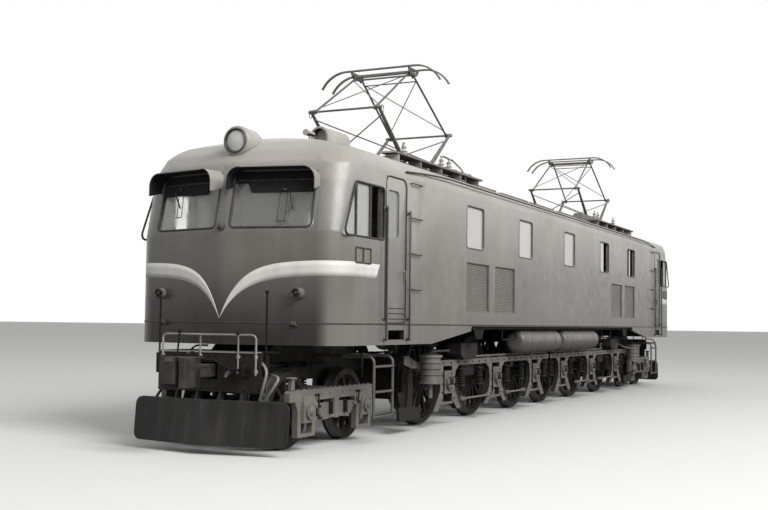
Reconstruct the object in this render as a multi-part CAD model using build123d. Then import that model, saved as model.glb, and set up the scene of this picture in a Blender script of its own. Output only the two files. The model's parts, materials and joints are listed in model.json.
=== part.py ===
"""Streamlined express electric locomotive with six driving and four leading axles.

X runs forward, Y to the left and Z up. Heights in the tables are above the rail top; everything is
lifted by the flange height when it is written, so the lowest point, a flange tip, is at zero.
The rear half is the front half turned half round about Z.
"""
import math
import os
from build123d import *

os.makedirs("parts", exist_ok=True)

# Body shell
BODY_HALF_WIDTH = 1400
WALL = 60
NOSE_ANGLE = 12
NOSE_SLOPE = math.tan(math.radians(NOSE_ANGLE))
SKIRT_Z = 1170
SILL_Z = 1400
GUTTER_Z = 3330
CROWN_Z = 3620
CANTRAIL_Z = 3410
CANTRAIL_RADIUS = 260
BULKHEAD_X = 6500
BULKHEAD = 50
BULKHEAD_DOOR = (600, 1850)
FLOOR_Z = 1425
FLOOR_THICK = 30
SILL_DEPTH = 40
FAR_X = 9600
FAR_Y = 1500
FAR_Z = 4000
# One row per level of the nose: height, tip of the V, corner radius, tip radius
NOSE_LEVELS = (
    (1100, 9070, 380, 500),
    (2430, 9070, 380, 500),
    (3040, 8945, 400, 500),
    (3240, 8870, 440, 560),
    (3400, 8760, 520, 640),
    (3530, 8580, 640, 760),
    (3610, 8310, 780, 900),
    (3680, 7880, 900, 1000),
)
# Lower edge of the side behind the cab: x, z from the middle of the body to the cab skirt
SKIRT_EDGE = ((4830, SILL_Z), (4860, 1330), (6250, SKIRT_Z))

# Openings in the body: windows, doors, steps and air intakes
DOOR_X = (7080, 7655)
DOOR_Z = (1430, 3190)
DOOR_GAP = 8
HINGE_GAP = 12
DOOR_THICK = 44
DOOR_RECESS = 6
HINGE_RADIUS = 7
HINGE_INSET = 10
HINGE_LENGTH = 110
HINGE_Z = (1620, 2260, 3020)
DOOR_PANE = (7440, 2740, 320, 580)
STEP_HOLE = (7120, 7570, 1230, 1345)
SIDE_WINDOW_X = (-4705, -2460, 0, 2460, 4705)
SIDE_WINDOW_SIZE = (680, 600)
SIDE_WINDOW_Z = 2795
INTAKE_X = (-4590, -3440, 3440, 4590)
INTAKE_SIZE = (900, 690)
INTAKE_Z = 1950
LOUVRE_FRAME = 35
SCREEN_Y = (95, 1040)
SCREEN_Z = (2485, 3030)
CAB_PANE = ((7700, 2410), (8720, 2410), (8440, 3030), (7700, 3030))
CAB_PANE_SPLIT = 8060
WINDOW_CORNER = 60
GLASS = 10
GLASS_DEPTH = 18

# Visors over the windscreens: inner end, outer end, underside at the ends, top
VISOR_Y = (60, 1105)
VISOR_Z = (2900, 3165)
VISOR_REACH = 235
VISOR_SHEET = 9

# Lamps, as drawn from the front of each nose
HEADLAMP_X = 8800
HEADLAMP_Z = 3520
MARKER_X = 8960
MARKER_Y = 930
MARKER_Z = 1745

# Handrails beside the cab doors
RAIL_Z = (1215, 2800)
RAIL_OUT = 38
RAIL_RADIUS = 13
RAIL_FOOT_Z = (1235, 1480, 2785)

# Air reservoirs, one row per tank: rear end, front end
TANK_SPANS = ((-2150, 50), (350, 2400))
TANK_RADIUS = 190
TANK_Y = 1195
TANK_Z = 1160

# What hangs under the floor: centre sills, foot plates and pipe loops
CENTRE_SILL_Y = (200, 300)
CENTRE_SILL_Z = 1120
CENTRE_SILL_ENDS = (3450, 4170, 6400)
FOOT_PLATE_X = (4180, 4590)
FOOT_PLATE_Z = 1215
PIPE_LOOP_X = (2640, 3300)
PIPE_LOOP_Z = 1195

# Roof fittings
HOOD_X = (6820, 7420)
HOOD_Y = 335
HOOD_RADIUS = 130
HOOD_Z = 3760
BOARD_X = (3400, 6600)
BOARD_Y = (790, 1010)
BOARD_Z = 3640

# Wheels and axles
FLANGE = 27
BACK_FACE = 495
WHEEL_WIDTH = 130
DRIVER_RADIUS = 625
DRIVER_X = (840, 2820, 4800)
DRIVER_SPOKES = 14
DRIVER_AXLE = 95
DRIVER_JOURNAL = 72
LEADER_RADIUS = 430
LEADER_X = (7130, 8560)
LEADER_SPOKES = 10
LEADER_AXLE = 80
LEADER_JOURNAL = 60
JOURNAL_GAP = 5

# Main truck
PIVOT_X = 3810
FRAME_Y = 990
FRAME_THICK = 80
BAR_Z = (830, 915)
FRAME_REAR = 70
JAW = 165
NECK_Y = 360
NECK_THICK = 80
BEAM_X = 9240
BEAM_THICK = 90
BEAM_HALF = 690
BEAM_Z = (650, 1080)
COUPLER_SLOT_Y = 110
CROSS_MEMBER_X = (8950, 9030)
COUPLER_Z = 880
COUPLER_FACE = 9950
BRAKE_CYLINDER_X = 5800
BRAKE_CYLINDER_Y = 1190
BRAKE_RADIUS = 634
NECK_TOP = 1190
SAND_BOX_X = (3950, 4600)
SAND_BOX_Y = (935, 1150)
SAND_BOX_Z = 1150
PLOUGH_HALF = 1020
PLOUGH_Z = (75, 560)
PLOUGH_CORNER = 90
PLOUGH_SHEET = 20
PLOUGH_STAY_Y = (-430, -150, 150, 430)
# One row per level of the blade: height, ridge, outer end
PLOUGH_LEVELS = ((55, 9460, 9245), (580, 9325, 9200))
RAIL_POST_Y = (-620, -110, 390, 620)
DECK_RAIL_Z = (840, 1280)
POLE_Z = (840, 1065, 1752)

# Leading truck
LEAD_PIVOT_X = 7845
LEAD_FRAME_Y = 830
LEAD_FRAME_THICK = 70
LEAD_JAW = 125

# Pantograph, as it stands raised
PANTO_X = 4850
BASE_SHAFT_X = 500
BASE_SHAFT_Z = 3780
BASE_Y = 470
LOWER_ARM = 950
UPPER_ARM = 1375
LOWER_ANGLE = 37.6
LOWER_Y = 525
UPPER_KNEE_Y = 470
UPPER_HEAD_Y = 425
HEAD_Y = 465
HEAD_PIN_X = 80
HEAD_PIN_DRIFT = 20
KNUCKLE_X = BASE_SHAFT_X + LOWER_ARM * math.cos(math.radians(LOWER_ANGLE))
KNUCKLE_Z = BASE_SHAFT_Z + LOWER_ARM * math.sin(math.radians(LOWER_ANGLE))
HEAD_PIN_Z = KNUCKLE_Z + math.sqrt(UPPER_ARM**2 - (KNUCKLE_X - HEAD_PIN_X) ** 2)

HALF_TURN = Rot(0, 0, 180)


def block(x0, x1, y0, y1, z0, z1):
    """A box between two corners."""
    return Pos((x0 + x1) / 2, (y0 + y1) / 2, (z0 + z1) / 2) * Box(x1 - x0, y1 - y0, z1 - z0)


def polygon(points):
    """A flat face with straight edges."""
    return make_face(Polyline(*points, close=True))


def across(outline, y0, y1):
    """An outline drawn in X and Z, made solid from y0 to y1."""
    return extrude(Plane.XZ.offset(-y1) * outline, y1 - y0)


def along(outline, x0, x1):
    """An outline drawn in Y and Z, made solid from x0 to x1."""
    return extrude(Plane.YZ.offset(x0) * outline, x1 - x0)


def upward(outline, z0, z1):
    """An outline drawn in X and Y, made solid from z0 to z1."""
    return extrude(Plane.XY.offset(z0) * outline, z1 - z0)


def rod(start, end, radius, end_radius=None):
    """A round bar between two points, tapered if a second radius is given."""
    a = Vector(*start)
    b = Vector(*end)
    plane = Plane(origin=a, z_dir=(b - a).normalized())
    length = (b - a).length
    if end_radius is None:
        return plane * Pos(0, 0, length / 2) * Cylinder(radius, length)
    return plane * Pos(0, 0, length / 2) * Cone(radius, end_radius, length)


def drum(centre_x, centre_z, radius, y0, y1):
    """A round bar that lies along Y."""
    return rod((centre_x, y0, centre_z), (centre_x, y1, centre_z), radius)


def tube(points, corner, radius):
    """A round bar bent through a row of points, with every corner rounded."""
    path = FilletPolyline(*points, radius=corner)
    section = Plane(origin=path @ 0, z_dir=path % 0) * Circle(radius)
    return sweep(section, path=path)


def mirrored(shape):
    """The shape on the left side, and its mirror image on the right."""
    return [shape, mirror(shape, about=Plane.XZ)]


def both_ends(shapes):
    """The shapes of the front half, and the same turned half round."""
    return [*shapes, *(HALF_TURN * shape for shape in shapes)]


def largest(shape):
    """The biggest solid that a cut has left."""
    return max(shape.solids(), key=lambda solid: solid.volume)


def fused(shapes):
    """One solid from touching pieces."""
    first, *rest = shapes
    return first.fuse(*rest).clean() if rest else first


def save(node, shapes):
    """Write one node, lifted so that the flange tips stand at zero."""
    solids = [solid for shape in shapes for solid in shape.solids()]
    lifted = [Pos(0, 0, FLANGE) * solid for solid in solids]
    export_step(Compound(children=lifted), f"parts/{node}.step")


def save_ends(name, shapes):
    """Write the front node and its twin at the rear, turned half round."""
    save(f"{name}_front", shapes)
    save(f"{name}_rear", [HALF_TURN * shape for shape in shapes])


# Body shell


def plan_outline(tip, corner_radius, tip_radius, half_width):
    """Half of the body seen from above: straight side, round corner and a shallow V nose."""
    corner = tip - half_width * NOSE_SLOPE
    face = polygon([(0, -half_width), (corner, -half_width), (tip, 0), (corner, half_width), (0, half_width)])
    face = fillet([v for v in face.vertices() if abs(v.Y) < 1], tip_radius)
    corners = [v for v in face.vertices() if v.X > 1 and abs(abs(v.Y) - half_width) < 1]
    return fillet(corners, corner_radius)


def envelope(inset):
    """The front half of the body as one solid, a given depth inside the outer skin."""
    width = BODY_HALF_WIDTH - inset
    levels = [
        Pos(0, 0, z) * plan_outline(tip - inset, radius - inset, tip_radius, width)
        for z, tip, radius, tip_radius in NOSE_LEVELS
    ]
    nose = loft([level.faces()[0] for level in levels], ruled=True)
    top = CANTRAIL_Z - inset
    side = Polyline((-width, top), (-width, SKIRT_Z), (width, SKIRT_Z), (width, top))
    roof = ThreePointArc((width, top), (0, CROWN_Z - inset), (-width, top))
    section = make_face([*side.edges(), *roof.edges()])
    shoulders = [v for v in section.vertices() if v.Y > SKIRT_Z + 1]
    section = fillet(shoulders, CANTRAIL_RADIUS - inset)
    return nose & along(section, -1, FAR_X)


OUTER = envelope(0)
INNER = envelope(WALL)


def window_face(x):
    """One side window of the machine room."""
    width, height = SIDE_WINDOW_SIZE
    return Pos(x, SIDE_WINDOW_Z) * RectangleRounded(width, height, WINDOW_CORNER)


def cab_window():
    """The cab side window, with its front edge leaning back."""
    pane = polygon(CAB_PANE)
    return fillet(pane.vertices(), WINDOW_CORNER)


def screen_prisms():
    """The two windscreens of one end, seen from the front, with round corners."""
    y0, y1 = SCREEN_Y
    z0, z1 = SCREEN_Z
    lean = 35
    pane = polygon([(y0, z0), (y1 + lean, z0), (y1 - lean, z1), (y0, z1)])
    return mirrored(along(fillet(pane.vertices(), WINDOW_CORNER), HEADLAMP_X - 500, FAR_X))


def door_face(gap, hinge_gap):
    """The cab door seen from the left, its upper rear corner rounded."""
    x0, x1 = DOOR_X
    z0, z1 = DOOR_Z
    rear, front = x0 + gap, x1 - hinge_gap
    face = polygon([(rear, z0 + gap), (front, z0 + gap), (front, z1 - gap), (rear, z1 - gap)])
    corner = [v for v in face.vertices() if v.X < x0 + 100 and v.Y > z1 - 100]
    return fillet(corner, 120 - gap)


def body_shell():
    """The front half of the shell, hollow, with every window, door, step and intake cut."""
    skirt = polygon([(-10, SKIRT_Z - 100), (-10, SILL_Z), *SKIRT_EDGE, (SKIRT_EDGE[-1][0], SKIRT_Z - 100)])
    hole_x0, hole_x1, hole_z0, hole_z1 = STEP_HOLE
    faces = [skirt, cab_window(), door_face(0, 0)]
    faces.append(polygon([(hole_x0, hole_z0), (hole_x1, hole_z0), (hole_x1, hole_z1), (hole_x0, hole_z1)]))
    faces += [window_face(x) for x in SIDE_WINDOW_X if x >= 0]
    faces += [Pos(x, INTAKE_Z) * Rectangle(*INTAKE_SIZE) for x in INTAKE_X if x > 0]
    shell = OUTER - INNER
    for cut in [*screen_prisms(), *(across(face, -FAR_Y, FAR_Y) for face in faces)]:
        shell = shell - cut
    return shell


SHELL = body_shell()


def make_cabs():
    """The cab at each end: nose, sides, roof and the bulkhead that closes it."""
    cab = SHELL & block(BULKHEAD_X, FAR_X, -FAR_Y, FAR_Y, 0, FAR_Z)
    bulkhead = INNER & block(BULKHEAD_X, BULKHEAD_X + BULKHEAD, -FAR_Y, FAR_Y, FLOOR_Z, FAR_Z)
    width, height = BULKHEAD_DOOR
    bulkhead -= block(BULKHEAD_X - 10, BULKHEAD_X + 100, -width / 2, width / 2, FLOOR_Z, FLOOR_Z + height)
    save_ends("cab", [fused([cab, bulkhead])])


def make_machine_room():
    """The side walls and the roof between the cabs, full length."""
    half = SHELL & block(0, BULKHEAD_X, -FAR_Y, FAR_Y, 0, FAR_Z)
    both = fused(both_ends([half]))
    for name, y0, y1 in (("left", 0, FAR_Y), ("right", -FAR_Y, 0)):
        save(f"side_wall_{name}", [both & block(-BULKHEAD_X, BULKHEAD_X, y0, y1, 0, GUTTER_Z)])
    save("roof", [both & block(-BULKHEAD_X, BULKHEAD_X, -FAR_Y, FAR_Y, GUTTER_Z, FAR_Z)])


def make_underframe():
    """Floor plate, sills, cross members, centre plates, and what hangs beside them."""
    plate_z = FLOOR_Z - FLOOR_THICK
    sill_z = plate_z - SILL_DEPTH
    inner = BODY_HALF_WIDTH - WALL
    pieces = [INNER & block(0, FAR_X, -FAR_Y, FAR_Y, plate_z, FLOOR_Z)]
    pieces += mirrored(block(0, 8300, inner - 110, inner, sill_z, plate_z))
    for x in (900, 2200, PIVOT_X, 5400, 6700, 8000):
        pieces.append(block(x - 60, x + 60, -inner, inner, sill_z, plate_z))
    pieces.append(rod((PIVOT_X, 0, sill_z - 23), (PIVOT_X, 0, plate_z), 250))
    floor = fused(both_ends([fused(pieces)]))
    x0, x1 = FOOT_PLATE_X
    foot_plate = polygon([(x0, sill_z), (x1, sill_z), (x1 - 90, FOOT_PLATE_Z), (x0 + 80, FOOT_PLATE_Z)])
    hung = mirrored(across(foot_plate, inner - 18, inner))
    loop_y = inner - 40
    x0, x1 = PIPE_LOOP_X
    corners = ((x0, sill_z), (x0, PIPE_LOOP_Z), (x1, PIPE_LOOP_Z), (x1, sill_z))
    hung += mirrored(tube([(x, loop_y, z) for x, z in corners], 50, 14))
    middle, x0, x1 = CENTRE_SILL_ENDS
    y0, y1 = CENTRE_SILL_Y
    hung += mirrored(block(x0, x1, y0, y1, CENTRE_SILL_Z, sill_z))
    centre_sills = mirrored(block(-middle, middle, y0, y1, CENTRE_SILL_Z, sill_z))
    save("underframe", [floor, *centre_sills, *both_ends(hung)])


def make_doors():
    """The four cab doors, each with its window, a handle and three hinge barrels inside."""
    x0, x1 = DOOR_X
    outer_y = BODY_HALF_WIDTH - DOOR_RECESS
    inner_y = outer_y - DOOR_THICK
    leaf = across(door_face(DOOR_GAP, HINGE_GAP), inner_y, outer_y)
    pane_x, pane_z, pane_width, pane_height = DOOR_PANE
    pane = Pos(pane_x, pane_z) * RectangleRounded(pane_width, pane_height, WINDOW_CORNER)
    leaf -= across(pane, inner_y - 10, outer_y + 10)
    glass = across(pane, outer_y - 30, outer_y - 22)
    grip_x = x0 + 70
    grip_y = outer_y + 42
    handle = [rod((grip_x, outer_y, 2060), (grip_x, grip_y, 2060), 11)]
    handle.append(rod((grip_x, grip_y, 2071), (grip_x, grip_y, 1950), 10))
    hinge_x = x1 - HINGE_GAP
    hinge_y = inner_y - HINGE_INSET
    hinges = []
    for z in HINGE_Z:
        hinges.append(rod((hinge_x, hinge_y, z), (hinge_x, hinge_y, z + HINGE_LENGTH), HINGE_RADIUS))
        hinges.append(block(hinge_x - 60, hinge_x, hinge_y - 4, inner_y, z, z + HINGE_LENGTH))
    door = [fused([leaf, *handle, *hinges]), glass]
    other = [mirror(piece, about=Plane.XZ) for piece in door]
    save("door_front_left", door)
    save("door_front_right", other)
    save("door_rear_right", [HALF_TURN * piece for piece in door])
    save("door_rear_left", [HALF_TURN * piece for piece in other])


def make_glass():
    """Windscreens and fixed side windows, set back in their openings."""
    skin = envelope(GLASS_DEPTH) - envelope(GLASS_DEPTH + GLASS)
    save("windscreens", both_ends([skin & prism for prism in screen_prisms()]))
    front = CAB_PANE_SPLIT
    fixed = cab_window() & polygon([(front, 2300), (FAR_X, 2300), (FAR_X, 3200), (front, 3200)])
    cab_panes = mirrored(largest(skin & across(fixed, 0, FAR_Y)))
    sides = []
    middle = []
    for x in SIDE_WINDOW_X:
        y1 = BODY_HALF_WIDTH - GLASS_DEPTH
        pane = mirrored(across(window_face(x), y1 - GLASS, y1))
        if x > 0:
            sides += pane
        elif x == 0:
            middle += pane
    save("side_glass", [*both_ends([*sides, *cab_panes]), *middle])


def make_intakes():
    """Air intakes: a frame with a filter sheet and sloping slats, one panel in each opening."""
    width, height = INTAKE_SIZE
    outer_y = BODY_HALF_WIDTH - 8
    inner_width = width - 2 * LOUVRE_FRAME
    inner_height = height - 2 * LOUVRE_FRAME
    frame = Rectangle(width, height) - Rectangle(inner_width, inner_height)
    slats = 5
    pitch = inner_height / slats
    panels = []
    for x in INTAKE_X:
        pieces = [across(Pos(x, INTAKE_Z) * frame, outer_y - 40, outer_y)]
        sheet = Pos(x, INTAKE_Z) * Rectangle(inner_width, inner_height)
        pieces.append(across(sheet, outer_y - 40, outer_y - 30))
        for row in range(slats):
            z = INTAKE_Z - inner_height / 2 + row * pitch
            back = outer_y - 34
            lip = outer_y - 4
            slat = polygon([(back, z + 0.9 * pitch), (lip, z + 4), (lip - 6, z + 4), (back, z + 0.8 * pitch)])
            pieces.append(along(slat, x - inner_width / 2, x + inner_width / 2))
        panels += mirrored(fused(pieces))
    save("air_intakes", panels)


def make_visors():
    """A bent sheet visor over each windscreen: flat top, both ends curved down, set square to the V."""
    y0, y1 = VISOR_Y
    z0, z1 = VISOR_Z
    width = y1 - y0
    height = 2 * (z1 - z0)
    bend = 150
    hood = RectangleRounded(width, height, bend)
    hood -= RectangleRounded(width - 2 * VISOR_SHEET, height - 2 * VISOR_SHEET, bend - VISOR_SHEET)
    sheet = along(Pos((y0 + y1) / 2, z1 - height / 2) * hood, -400, VISOR_REACH)
    edge = z0 + 60
    lower_edge = polygon([(-400, edge), (0, edge), (VISOR_REACH, z0), (VISOR_REACH, z1 + 1), (-400, z1 + 1)])
    sheet = sheet & across(lower_edge, 0, FAR_Y)
    tip_at_visor = NOSE_LEVELS[2][1] - 25
    left = Pos(tip_at_visor, 0, 0) * Rot(0, 0, NOSE_ANGLE) * sheet - OUTER
    front = [solid for solid in left.solids() if solid.center().X > HEADLAMP_X - 60]
    visor = max(front, key=lambda solid: solid.volume)
    save("visors", both_ends(mirrored(visor)))


def make_lamps():
    """The headlamp in its fairing on each forehead, and two marker lamps below the windscreens."""
    fairing = Polyline((0, 0), (0, 145), (14, 172), (60, 178), (300, 165), (620, 60), (640, 0), close=True)
    bowl = Pos(12, 0, 0) * Rot(0, 90, 0) * Cylinder(140, 60)
    place = Pos(HEADLAMP_X, 0, HEADLAMP_Z) * Rot(0, 0, 180)
    headlamp = place * (revolve(make_face(fairing), Axis.X) - bowl) - OUTER
    lens = place * Pos(30, 0, 0) * Rot(0, 90, 0) * Cylinder(139, 12)
    x, y, z = MARKER_X, MARKER_Y, MARKER_Z
    marker = (rod((x - 300, y, z), (x, y, z), 62) - rod((x - 20, y, z), (x + 10, y, z), 50)) - OUTER
    rings = mirrored(max(marker.solids(), key=lambda solid: solid.center().X))
    discs = mirrored(rod((x - 20, y, z), (x - 10, y, z), 50))
    save("lamps", both_ends([largest(headlamp), *rings]))
    save("lamp_lenses", both_ends([lens, *discs]))


def make_handrails():
    """Long handrails both sides of each cab door, standing off on short feet."""
    rails = []
    y = BODY_HALF_WIDTH + RAIL_OUT
    for x in (DOOR_X[0] - 40, DOOR_X[1] + 40):
        rail = rod((x, y, RAIL_Z[0]), (x, y, RAIL_Z[1]), RAIL_RADIUS)
        feet = [rod((x, BODY_HALF_WIDTH, z), (x, y, z), 11) for z in RAIL_FOOT_Z]
        rails += mirrored(fused([rail, *feet]))
    save("handrails", both_ends(rails))


def make_tanks():
    """Two air reservoirs under each side of the body, held by straps from the sill."""
    tanks = []
    y, z, radius = TANK_Y, TANK_Z, TANK_RADIUS
    for x0, x1 in TANK_SPANS:
        barrel = rod((x0, y, z), (x1, y, z), radius)
        pieces = [fillet(barrel.edges().filter_by(GeomType.CIRCLE), 95)]
        for x in (x0 + 400, x1 - 400):
            pieces.append(rod((x - 30, y, z), (x + 30, y, z), radius + 5))
            pieces.append(block(x - 30, x + 30, 1180, 1215, z + radius - 20, FLOOR_Z - FLOOR_THICK))
        tanks += mirrored(fused(pieces))
    save("air_tanks", tanks)


def make_roof_gear():
    """The vent hood behind the headlamp, the whistle, running boards and low hatches on the roof."""
    x0, x1 = HOOD_X
    arch = Pos(0, -200) * Rectangle(2 * HOOD_RADIUS, 400) + Circle(HOOD_RADIUS)
    opening = Pos(0, -200) * Rectangle(2 * HOOD_RADIUS - 50, 400) + Circle(HOOD_RADIUS - 25)
    hood = along(Pos(HOOD_Y, HOOD_Z) * arch, x0, x1) - along(Pos(HOOD_Y, HOOD_Z) * opening, x1 - 120, x1 + 10)
    gear = [largest(hood - OUTER)]
    hatch = fillet(Box(1500, 1300, 240).edges().filter_by(Axis.Z), WINDOW_CORNER)
    for x in (800, 2500):
        gear.append(largest(Pos(x, 0, 3570) * hatch - OUTER))
    whistle = [rod((7650, HOOD_Y, 3400), (7650, HOOD_Y, 3760), 16)]
    whistle.append(rod((7560, HOOD_Y, 3760), (7760, HOOD_Y, 3760), 28, 40))
    gear.append(largest(fused(whistle) - OUTER))
    y0, y1 = BOARD_Y
    board = [block(*BOARD_X, y0, y1, BOARD_Z, BOARD_Z + 25)]
    for step in range(5):
        x = BOARD_X[0] + 150 + step * (BOARD_X[1] - BOARD_X[0] - 300) / 4
        board.append(block(x - 20, x + 20, y0 + 15, y1 - 15, 3400, BOARD_Z))
    gear += mirrored(largest(fused(board) - OUTER))
    save("roof_gear", both_ends(gear))


def make_inside():
    """The plain block of resistors, compressors and boiler, and the desks and seats of both cabs."""
    machinery = block(0, 5600, -620, 620, FLOOR_Z, FLOOR_Z + 1250)
    save("machinery_block", [fused(both_ends([machinery]))])
    desk = polygon([(8100, FLOOR_Z), (8800, FLOOR_Z), (8800, 2380), (8330, 2380), (8150, 2300), (8150, 2050)])
    desk = across(desk, -900, 350) & INNER
    seat = fused([block(7700, 8050, 300, 750, 1950, 2060), block(7670, 7740, 300, 750, 2060, 2500),
                  rod((7870, 525, FLOOR_Z), (7870, 525, 1950), 50)])
    controller = [rod((7950, -150, FLOOR_Z), (7950, -150, 2300), 90)]
    controller.append(rod((7950, -150, 2300), (7950, -150, 2330), 150))
    save("cab_fittings", both_ends([desk, seat, fused(controller)]))


# Wheels


def wheel_section(radius):
    """Half of a wheel's section: hub, web, rim, tread and flange, as radius and offset from the back."""
    rim = radius - 75
    return [
        (50, 0), (150, 0), (160, 30), (rim - 20, 45), (rim, 0), (radius + FLANGE - 12, 0),
        (radius + FLANGE, 14), (radius + 4, 34), (radius, WHEEL_WIDTH), (rim, WHEEL_WIDTH),
        (rim - 20, 85), (160, 105), (150, WHEEL_WIDTH + 15), (50, WHEEL_WIDTH + 15),
    ]


def spoke_gaps(radius, spokes):
    """The open spaces between the spokes of one wheel, seen from the side."""
    root = 175
    rim = radius - 105
    half = math.pi / spokes
    spoke = 24
    inner = half - spoke / root
    outer = half - spoke / rim
    gap = polygon([
        (root * math.cos(inner), -root * math.sin(inner)), (rim * math.cos(outer), -rim * math.sin(outer)),
        (rim * math.cos(outer), rim * math.sin(outer)), (root * math.cos(inner), root * math.sin(inner)),
    ])
    return [Rot(0, 0, 360 * step / spokes) * gap for step in range(spokes)]


def wheelset(radius, spokes, axle_radius, journal_radius, journal_end):
    """Two spoked wheels on one axle, centred on the origin with the axle along Y."""
    face = polygon([(r, BACK_FACE + y) for r, y in wheel_section(radius)])
    wheel = revolve(face, Axis.Y)
    for gap in spoke_gaps(radius, spokes):
        wheel -= across(gap, BACK_FACE, BACK_FACE + WHEEL_WIDTH)
    end = BACK_FACE + WHEEL_WIDTH + 15
    axle = drum(0, 0, axle_radius, -end, end)
    journal = drum(0, 0, journal_radius, -journal_end, journal_end)
    return fused([axle, journal, *mirrored(wheel)])


def make_wheelsets():
    """Six driving wheelsets and four leading ones, numbered from the middle outwards."""
    driver = wheelset(DRIVER_RADIUS, DRIVER_SPOKES, DRIVER_AXLE, DRIVER_JOURNAL, 1035)
    leader = wheelset(LEADER_RADIUS, LEADER_SPOKES, LEADER_AXLE, LEADER_JOURNAL, 905)
    for number, x in enumerate(DRIVER_X, 1):
        save_ends(f"wheelset_driver_{number}", [Pos(x, 0, DRIVER_RADIUS) * driver])
    for number, x in enumerate(LEADER_X, 1):
        save_ends(f"wheelset_leader_{number}", [Pos(x, 0, LEADER_RADIUS) * leader])


# Main truck


def side_plate():
    """The side frame of the main truck: a top bar and, at each axle, two legs with splayed feet."""
    low, high = BAR_Z
    outline = polygon([
        (FRAME_REAR, low), (FRAME_REAR, high), (5900, high), (6150, 1000), (6300, 1000), (6300, 890),
        (6050, low),
    ])
    y0 = FRAME_Y - FRAME_THICK / 2
    y1 = FRAME_Y + FRAME_THICK / 2
    pieces = [across(outline, y0, y1)]
    for x in DRIVER_X:
        for side in (1, -1):
            leg = [
                (JAW, low), (430, low), (300, 755), (262, 640), (275, 480), (520, 215), (350, 205),
                (230, 320), (JAW, 330),
            ]
            pieces.append(across(polygon([(x + side * u, z) for u, z in leg]), y0, y1))
        pieces.append(block(x - 250, x + 250, y0 + 10, y1 - 10, 290, 325))
    guard = polygon([
        (5720, 135), (6380, 160), (6400, 335), (6140, 320), (6080, low), (5960, low), (5980, 315),
        (5700, 300),
    ])
    pieces.append(across(guard, y0 + 20, y1 - 20))
    return fused(pieces)


def make_truck_frame():
    """Main truck frame: two side plates, stretchers, bolster, neck and the end beam."""
    y = FRAME_Y - FRAME_THICK / 2
    pieces = mirrored(side_plate())
    pieces.append(block(FRAME_REAR, FRAME_REAR + 90, -y, y, 640, BAR_Z[1]))
    pieces.append(block(1760, 1900, -y, y, 730, 890))
    pieces.append(block(PIVOT_X - 250, PIVOT_X + 250, -y, y, 660, 900))
    pieces.append(rod((PIVOT_X, 0, 900), (PIVOT_X, 0, FLOOR_Z - FLOOR_THICK - SILL_DEPTH - 28), 240))
    pieces.append(block(6150, 6300, -y, y, 870, 1000))
    tip = BEAM_X - BEAM_THICK / 2
    neck = polygon([
        (6150, 870), (6150, 1000), (6500, 1050), (7000, NECK_TOP), (8500, NECK_TOP), (8680, 1050),
        (tip, 1050), (tip, 740), (6800, 740),
    ])
    pieces += mirrored(across(neck, NECK_Y - NECK_THICK / 2, NECK_Y + NECK_THICK / 2))
    beam = upward(Pos(BEAM_X - BEAM_THICK / 2, 0) * Rectangle(BEAM_THICK, 2 * BEAM_HALF), *BEAM_Z)
    slot = block(BEAM_X - BEAM_THICK - 10, BEAM_X + 10, -COUPLER_SLOT_Y, COUPLER_SLOT_Y,
                 COUPLER_Z - 95, COUPLER_Z + 95)
    pieces.append(beam)
    pieces.append(block(*CROSS_MEMBER_X, -NECK_Y, NECK_Y, 780, 1000))
    pieces.append(block(LEAD_PIVOT_X - 200, LEAD_PIVOT_X + 200, -NECK_Y, NECK_Y, 740, 820))
    save_ends("truck_frame", [fused(pieces) - slot])


def make_end_deck():
    """The walkway over the end beam with its bent rail and marker poles, and the cab ladders."""
    top = BEAM_Z[1] + 18
    x = BEAM_X + 16
    foot, rail_z = DECK_RAIL_Z
    pieces = [block(8700, x, -BEAM_HALF, BEAM_HALF, BEAM_Z[1], top)]
    outer = RAIL_POST_Y[-1]
    corners = ((-outer, foot), (-outer, rail_z), (outer, rail_z), (outer, foot))
    pieces.append(tube([(x, y, z) for y, z in corners], 55, 12))
    for y in RAIL_POST_Y:
        pads = [BEAM_Z[1] - 40]
        if abs(y) > COUPLER_SLOT_Y:
            pads.append(foot + 40)
        if abs(y) < outer:
            pieces.append(rod((x, y, min(pads) - 28), (x, y, rail_z), 10))
        for z in pads:
            pieces.append(block(BEAM_X, x + 6, y - 20, y + 20, z - 20, z + 20))
    x = BEAM_X - BEAM_THICK / 2
    foot, socket, knob = POLE_Z
    for side in (1, -1):
        y = side * (BEAM_HALF + 22)
        pieces.append(upward(Pos(x, y) * Rectangle(60, 44), foot, socket))
        pieces.append(rod((x, y, socket), (x, y, knob), 11))
        pieces.append(Pos(x, y, knob) * Sphere(22))
    deck = fused(pieces)
    x0, x1 = 7200, 7715
    rails = []
    for rail_x in (x0, x1):
        rails.append(tube([(rail_x, 900, 1030), (rail_x, 1290, 1030), (rail_x, 1290, 300)], 80, 18))
    for z in (310, 600, 900):
        rails.append(block(x0, x1, 1265, 1315, z, z + 24))
    rails.append(block(x0 - 40, x1 + 40, 880, 940, 1005, 1055))
    rails.append(block(7400, 7480, NECK_Y + NECK_THICK / 2, 900, 1005, 1045))
    ladder = fused(rails)
    save_ends("end_deck", [deck, *mirrored(ladder)])


def plough_x(y, z):
    """How far forward the middle of the blade's sheet stands at a place across and a height."""
    (z0, ridge0, end0), (z1, ridge1, end1) = PLOUGH_LEVELS
    share = (z - z0) / (z1 - z0)
    ridge = ridge0 + share * (ridge1 - ridge0)
    end = end0 + share * (end1 - end0)
    return ridge - PLOUGH_SHEET / 2 - (ridge - end) * abs(y) / PLOUGH_HALF


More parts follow.
